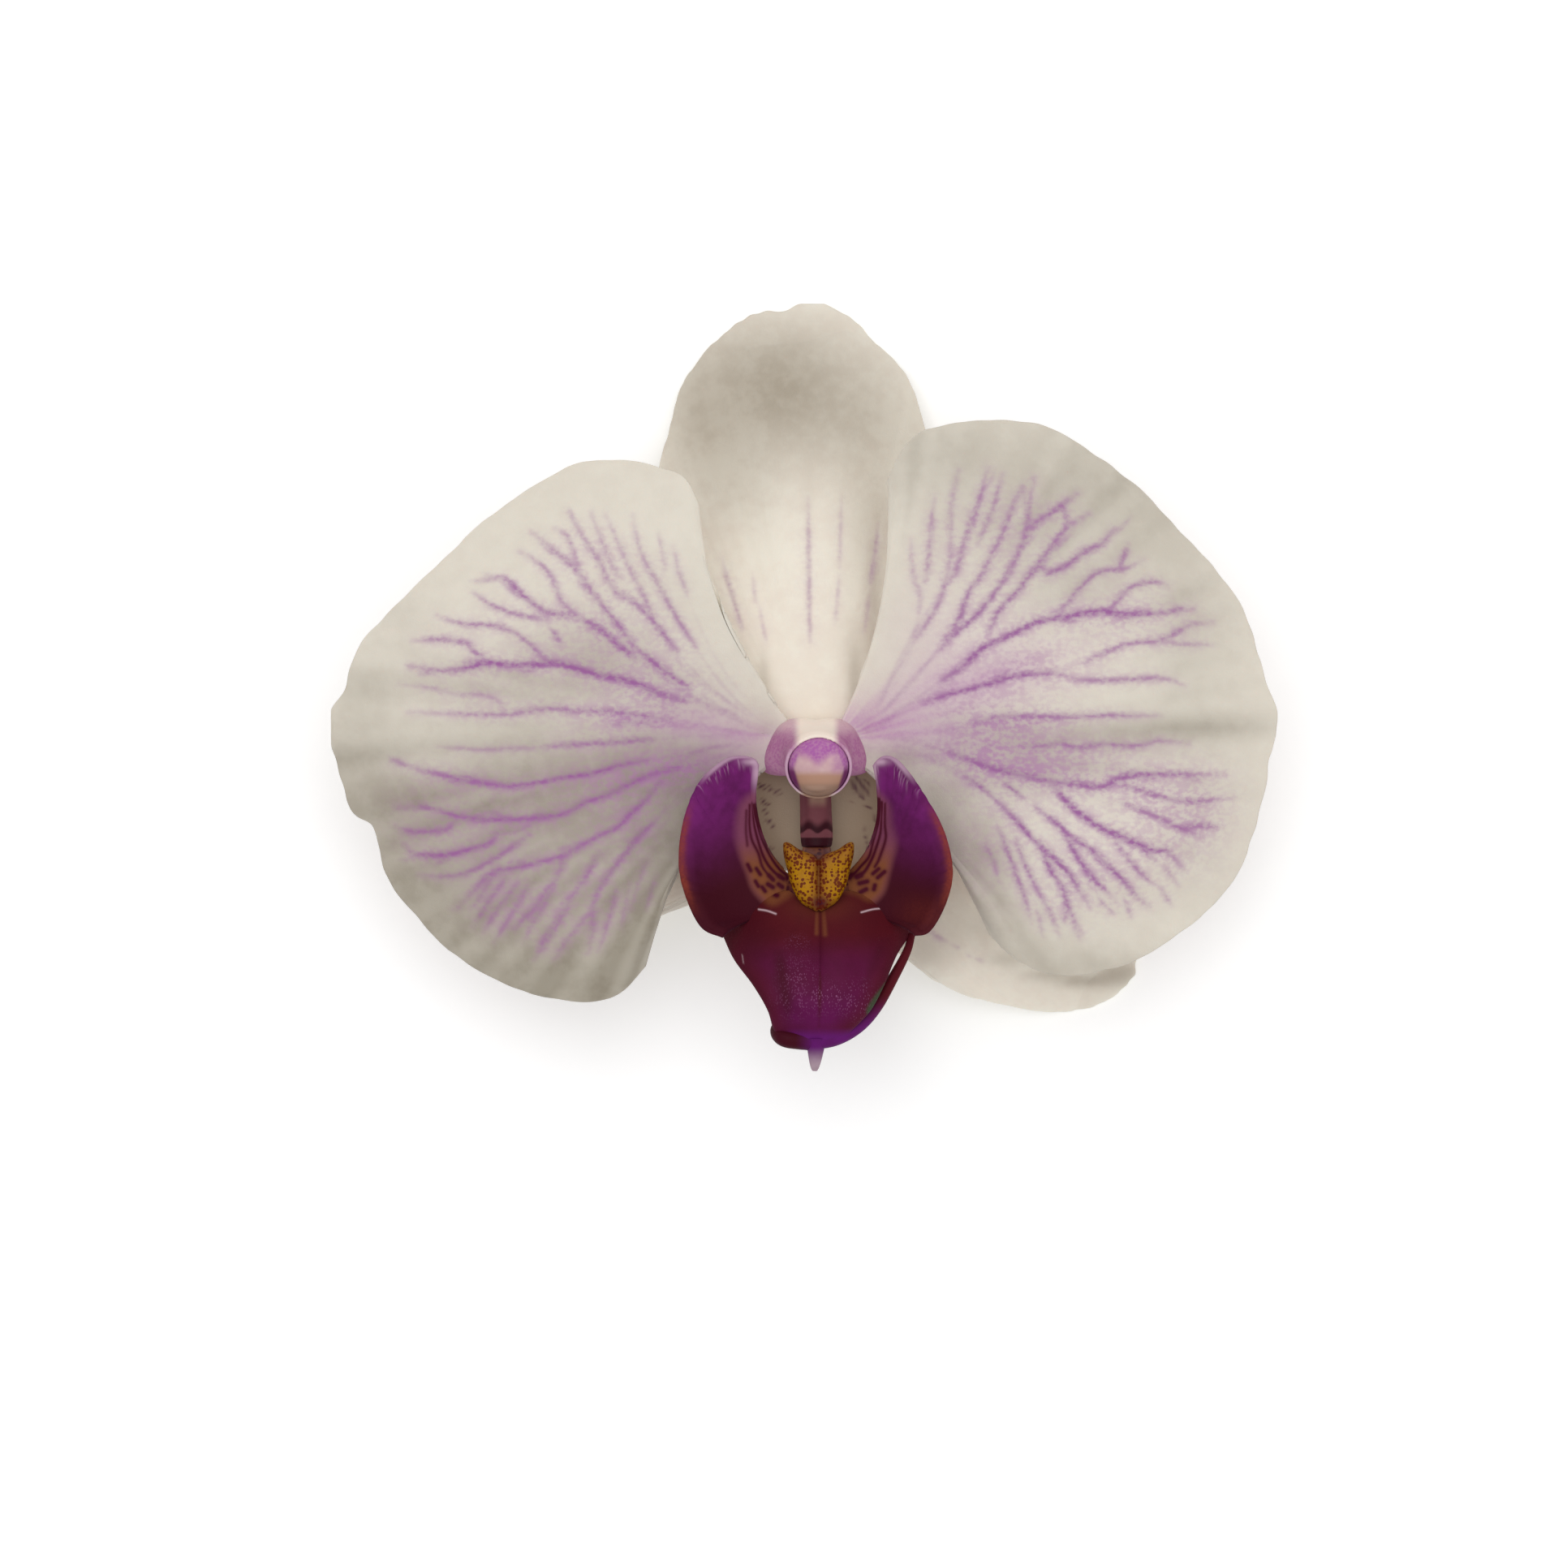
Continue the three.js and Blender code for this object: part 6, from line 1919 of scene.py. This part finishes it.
class BLOOM_OT_callus(bpy.types.Operator):
    """Make the yellow spotted callus with its two horns."""

    bl_idname = "bloom.callus"
    bl_label = "Callus"

    def execute(self, context):
        plates = [self.plate(side) for side in (-1, 1)]
        callus = joined("spotted_callus", plates)
        fused(callus, grain=0.09, rounds=3)
        x, y = drawn_points(callus).T[:2]
        from_groove = x - CALLUS_GROOVE
        horns = 0.8 * smoothstep(-14.4, -12.2, y) + 0.9 * bell(from_groove, 0.9)
        paint(callus, "horn", np.clip(horns, 0, 1))
        # Maroon stains at the groove's ends, and a painted shade down the groove between the plates
        paint(callus, "stain_and_groove_shade", np.maximum(stains(x, y, CALLUS_STAINS), 0.5 * bell(from_groove, 0.35)))
        complete(callus, callus_material(), "callus", "callus")
        return {"FINISHED"}

    def plate(self, side):
        outline = smooth_line([*CALLUS_PLATE, CALLUS_PLATE[0]], 120)
        places = np.linspace(0, 2 * math.pi, len(outline))
        levels = smooth_line(CALLUS_LEVELS, 60)
        steps = np.linspace(0, 1, len(levels))

        def points_at(turn, t):
            x, y = (np.interp(turn, places, outline[:, k]) for k in (0, 1))
            size, height = (np.interp(t, steps, levels[:, k]) for k in (0, 1))
            x = mix(CALLUS_HEART[0], x, size)
            y = mix(CALLUS_HEART[1], y, size)
            hornward = smoothstep(-14.6, -11.6, y)
            z = CALLUS_FLOOR + height * (1 + 0.45 * hornward * (height > 0))
            return np.column_stack((CALLUS_MIDDLE + side * (x - CALLUS_OVERLAP), y, z))

        return rolled("plate", 96, 40, points_at)


class BLOOM_OT_column(bpy.types.Operator):
    """Make the column with its wings, its hood, the stigma's hollow and its foot."""

    bl_idname = "bloom.column"
    bl_label = "Column"

    def execute(self, context):
        foot_after_trunk = [self.trunk(), rolled("foot", 48, 40, stack_points(FOOT_STACK))]
        column = joined("winged_column", foot_after_trunk)
        fused(column, grain=0.13, rounds=4)
        cut_by(column, egg("seat", CAP_CENTRE, CAP_RADII + SEAT_GAP))
        cut_by(column, egg("stigma", STIGMA_CENTRE, STIGMA_RADII))
        fused(column, grain=0.11, rounds=5)
        self.paint_column(column)
        complete(column, column_material(), "column", "column")
        return {"FINISHED"}

    def trunk(self):
        up = np.array(UP, float)
        stages = (
            ((0, -1.6, 12.4), 0, 4.1, 2.5),
            ((0, -1.6, 13.8), 0, 5.1, 2.7),
            ((0, -1.7, 15.4), 0.2, 4.7, 2.7),
            ((0.05, -2.1, 17), 0.6, 3.6, 2.75),
            ((0.1, -2.6, 18.6), 1, 3.2, 2.9),
            (along_column(-1), 1, 3.38, 3.5),
            (along_column(0.35), 1, 3.4, 3.58),
        )
        stack = [(centre, mix(up, COLUMN_AXIS, nod), wide, tall) for centre, nod, wide, tall in stages]
        trunk = rolled("trunk", 96, 80, stack_points(stack))
        points = drawn_points(trunk)
        x, y, z = points.T
        reach = smoothstep(18.5, 16, z) * (np.abs(x) / 4.9) ** 1.4
        y += reach * mix(-WING_DROOP, WING_LIFT, smoothstep(-2.6, -1, y))
        x *= mix(1, mix(1.1, 0.78, smoothstep(-3.6, 0.9, y)), smoothstep(18.5, 16, z))
        set_points(trunk, points)
        return trunk

    def paint_column(self, column):
        points = drawn_points(column)
        x, y, z = points.T
        local = (points - CAP_CENTRE) @ column_basis().T
        aside = np.abs(x - 0.1)
        is_foot = smoothstep(-5.8, -6.6, y) * smoothstep(16.2, 15.6, z)
        in_seat = smoothstep(1.05, 1.02, np.linalg.norm(local / (CAP_RADII + SEAT_GAP), axis=1))
        # Painted shade just below the cap's beak, in the cap's shade colour; the same colour is also laid on
        # the middle of the foot where it leaves the column
        shade_below_cap = smoothstep(2.1, 1.1, aside) * smoothstep(-5.2, -5.9, y) * smoothstep(18, 19.5, z)
        rim = smoothstep(-0.1, 0.2, local[:, 2]) * smoothstep(-1.2, -2.6, y) * (1 - shade_below_cap)
        wing = smoothstep(1.5, 2.5, aside) * mix(0.6, 1, smoothstep(0.8, -1, y)) * (1 - is_foot)
        flank = smoothstep(0.5, 1.2, np.abs(x - 0.2))
        waved = y + 0.22 * np.cos(3.6 * (x - 0.2))
        middle_band = smoothstep(-8.9, -9.8, waved) * smoothstep(-10.25, -10.1, waved)
        bands = smoothstep(-10.75, -10.9, y) + middle_band + 0.3 * flank * smoothstep(-10, -8.5, y)
        # The hood's inside: violet made darker as painted shade, in the lower part of the seat
        paint(column, "hood", in_seat * smoothstep(-2, -3.4, y) * (1 - is_foot))
        paint(column, "rim", 0.62 * rim * (1 - in_seat))
        paint(column, "shade_below_cap", np.maximum(shade_below_cap, 0.7 * is_foot * (1 - flank) * smoothstep(-8, -7, y)))
        paint(column, "wing", wing * 0.95)
        paint(column, "foot", is_foot)
        paint(column, "foot_band", np.clip(bands, 0, 1) * is_foot)


class BLOOM_OT_anther_cap(bpy.types.Operator):
    """Make the loose cap on the end of the column."""

    bl_idname = "bloom.anther_cap"
    bl_label = "Anther cap"

    def execute(self, context):
        dome = egg("dome", CAP_CENTRE, CAP_RADII)
        beak = egg("beak", BEAK_CENTRE, BEAK_RADII, 24)
        cap = joined("pale_cap", [dome, beak])
        fused(cap, grain=0.09, rounds=5)
        cut_by(cap, egg("hollow", along_column(-1.8), HOLLOW_RADII, 24))
        x, y = drawn_points(cap).T[:2]
        from_middle = x - CAP_CENTRE[0]
        aside = np.abs(from_middle)
        crown_edge = -2.1 - 0.85 * bell(x - 0.25, 0.8) - 1.9 * smoothstep(1.9, 2.8, aside)
        crown = smoothstep(-1.1, 0.3, y - crown_edge)
        right_of_crown = 0.5 * smoothstep(0.8, 2, from_middle) * smoothstep(-4.8, -3.6, y)
        hood_shade_edge = 2.3 + 0.3 * (y + 4.5) + 0.15 * (x > 0)
        paint(cap, "crown", np.maximum(crown, right_of_crown))
        # Painted shade: the cap's sides take the hood's dark colour, where the hood's inside lies in shade
        paint(cap, "side", smoothstep(-0.25, 0.15, aside - hood_shade_edge) * smoothstep(-3.3, -4.3, y))
        paint(cap, "tan", smoothstep(-3.9, -4.7, y))
        paint(cap, "shade", smoothstep(-5.1, -5.8, y))
        complete(cap, cap_material(), "anther_cap", "anther_cap")
        return {"FINISHED"}


class BLOOM_OT_pollen(bpy.types.Operator):
    """Make the pair of pollen masses under the cap."""

    bl_idname = "bloom.pollen"
    bl_label = "Pollen masses"

    def execute(self, context):
        middle = along_column(-1.5)
        masses = [egg("mass", middle + np.array((side * 0.55, 0, 0)), MASS_RADII, 20) for side in (-1, 1)]
        pollen = joined("pollen_masses", masses)
        fused(pollen, grain=0.06, rounds=2)
        complete(pollen, pollen_material(), "pollinarium", "pollinarium")
        return {"FINISHED"}


class BLOOM_OT_stalk(bpy.types.Operator):
    """Make the ribbed ovary and the short stalk behind the bloom."""

    bl_idname = "bloom.stalk"
    bl_label = "Stalk"

    def execute(self, context):
        stalk = rolled("ovary_and_stalk", 60, 220, tube_points(STALK_PATH, self.radius, self.ribs))
        x, y, z = drawn_points(stalk).T
        paint(stalk, "cut", smoothstep(25.6, 25.75, y * 0.94 - x * 0.35 - 1.3))
        paint(stalk, "rib", smoothstep(14, 4, y) * smoothstep(2, 6, z))
        complete(stalk, stalk_material(), "stalk", "pedicel")
        return {"FINISHED"}

    def radius(self, t):
        return mix(1.95, 1.35, smoothstep(0.25, 0.7, t)) + 0.8 * bell(t, 0.06)

    def ribs(self, turn, t):
        twisted = np.cos(3 * (turn + 3 * t)) * (1 - smoothstep(0.45, 0.7, t))
        return 1 + 0.09 * twisted + 0.012 * ripple(turn / (2 * math.pi), 71, 5, 9, 9)


class BLOOM_PT_panel(bpy.types.Panel):
    """Lists the settings and the steps that build the bloom."""

    bl_label = "Moth orchid bloom"
    bl_idname = "BLOOM_PT_panel"
    bl_space_type = "VIEW_3D"
    bl_region_type = "UI"
    bl_category = "Orchid"

    def draw(self, context):
        scene = context.scene
        for settings in (scene.bloom_sizes, scene.bloom_colors, scene.bloom_studio):
            box = self.layout.box()
            for name in settings.bl_rna.properties.keys():
                if name not in ("rna_type", "name"):
                    box.prop(settings, name)
        for step in STEPS:
            self.layout.operator(step.bl_idname)


STEPS = (
    BLOOM_OT_stage,
    BLOOM_OT_petals,
    BLOOM_OT_sepals,
    BLOOM_OT_side_lobes,
    BLOOM_OT_middle_lobe,
    BLOOM_OT_lip_floor,
    BLOOM_OT_callus,
    BLOOM_OT_column,
    BLOOM_OT_anther_cap,
    BLOOM_OT_pollen,
    BLOOM_OT_stalk,
)
CLASSES = (BloomSizes, BloomColors, StudioSettings, *STEPS, BLOOM_PT_panel)


def register():
    """Registers the classes and puts the settings on the scene."""
    for cls in CLASSES:
        bpy.utils.register_class(cls)
    bpy.types.Scene.bloom_sizes = bpy.props.PointerProperty(type=BloomSizes)
    bpy.types.Scene.bloom_colors = bpy.props.PointerProperty(type=BloomColors)
    bpy.types.Scene.bloom_studio = bpy.props.PointerProperty(type=StudioSettings)


def unregister():
    """Takes the settings and the classes away again."""
    del bpy.types.Scene.bloom_sizes
    del bpy.types.Scene.bloom_colors
    del bpy.types.Scene.bloom_studio
    for cls in reversed(CLASSES):
        bpy.utils.unregister_class(cls)


def main():
    """Builds the whole bloom, one operator after another."""
    register()
    bpy.ops.bloom.stage()
    bpy.ops.bloom.petals()
    bpy.ops.bloom.sepals()
    bpy.ops.bloom.side_lobes()
    bpy.ops.bloom.middle_lobe()
    bpy.ops.bloom.lip_floor()
    bpy.ops.bloom.callus()
    bpy.ops.bloom.column()
    bpy.ops.bloom.anther_cap()
    bpy.ops.bloom.pollen()
    bpy.ops.bloom.stalk()


if __name__ == "__main__":
    main()
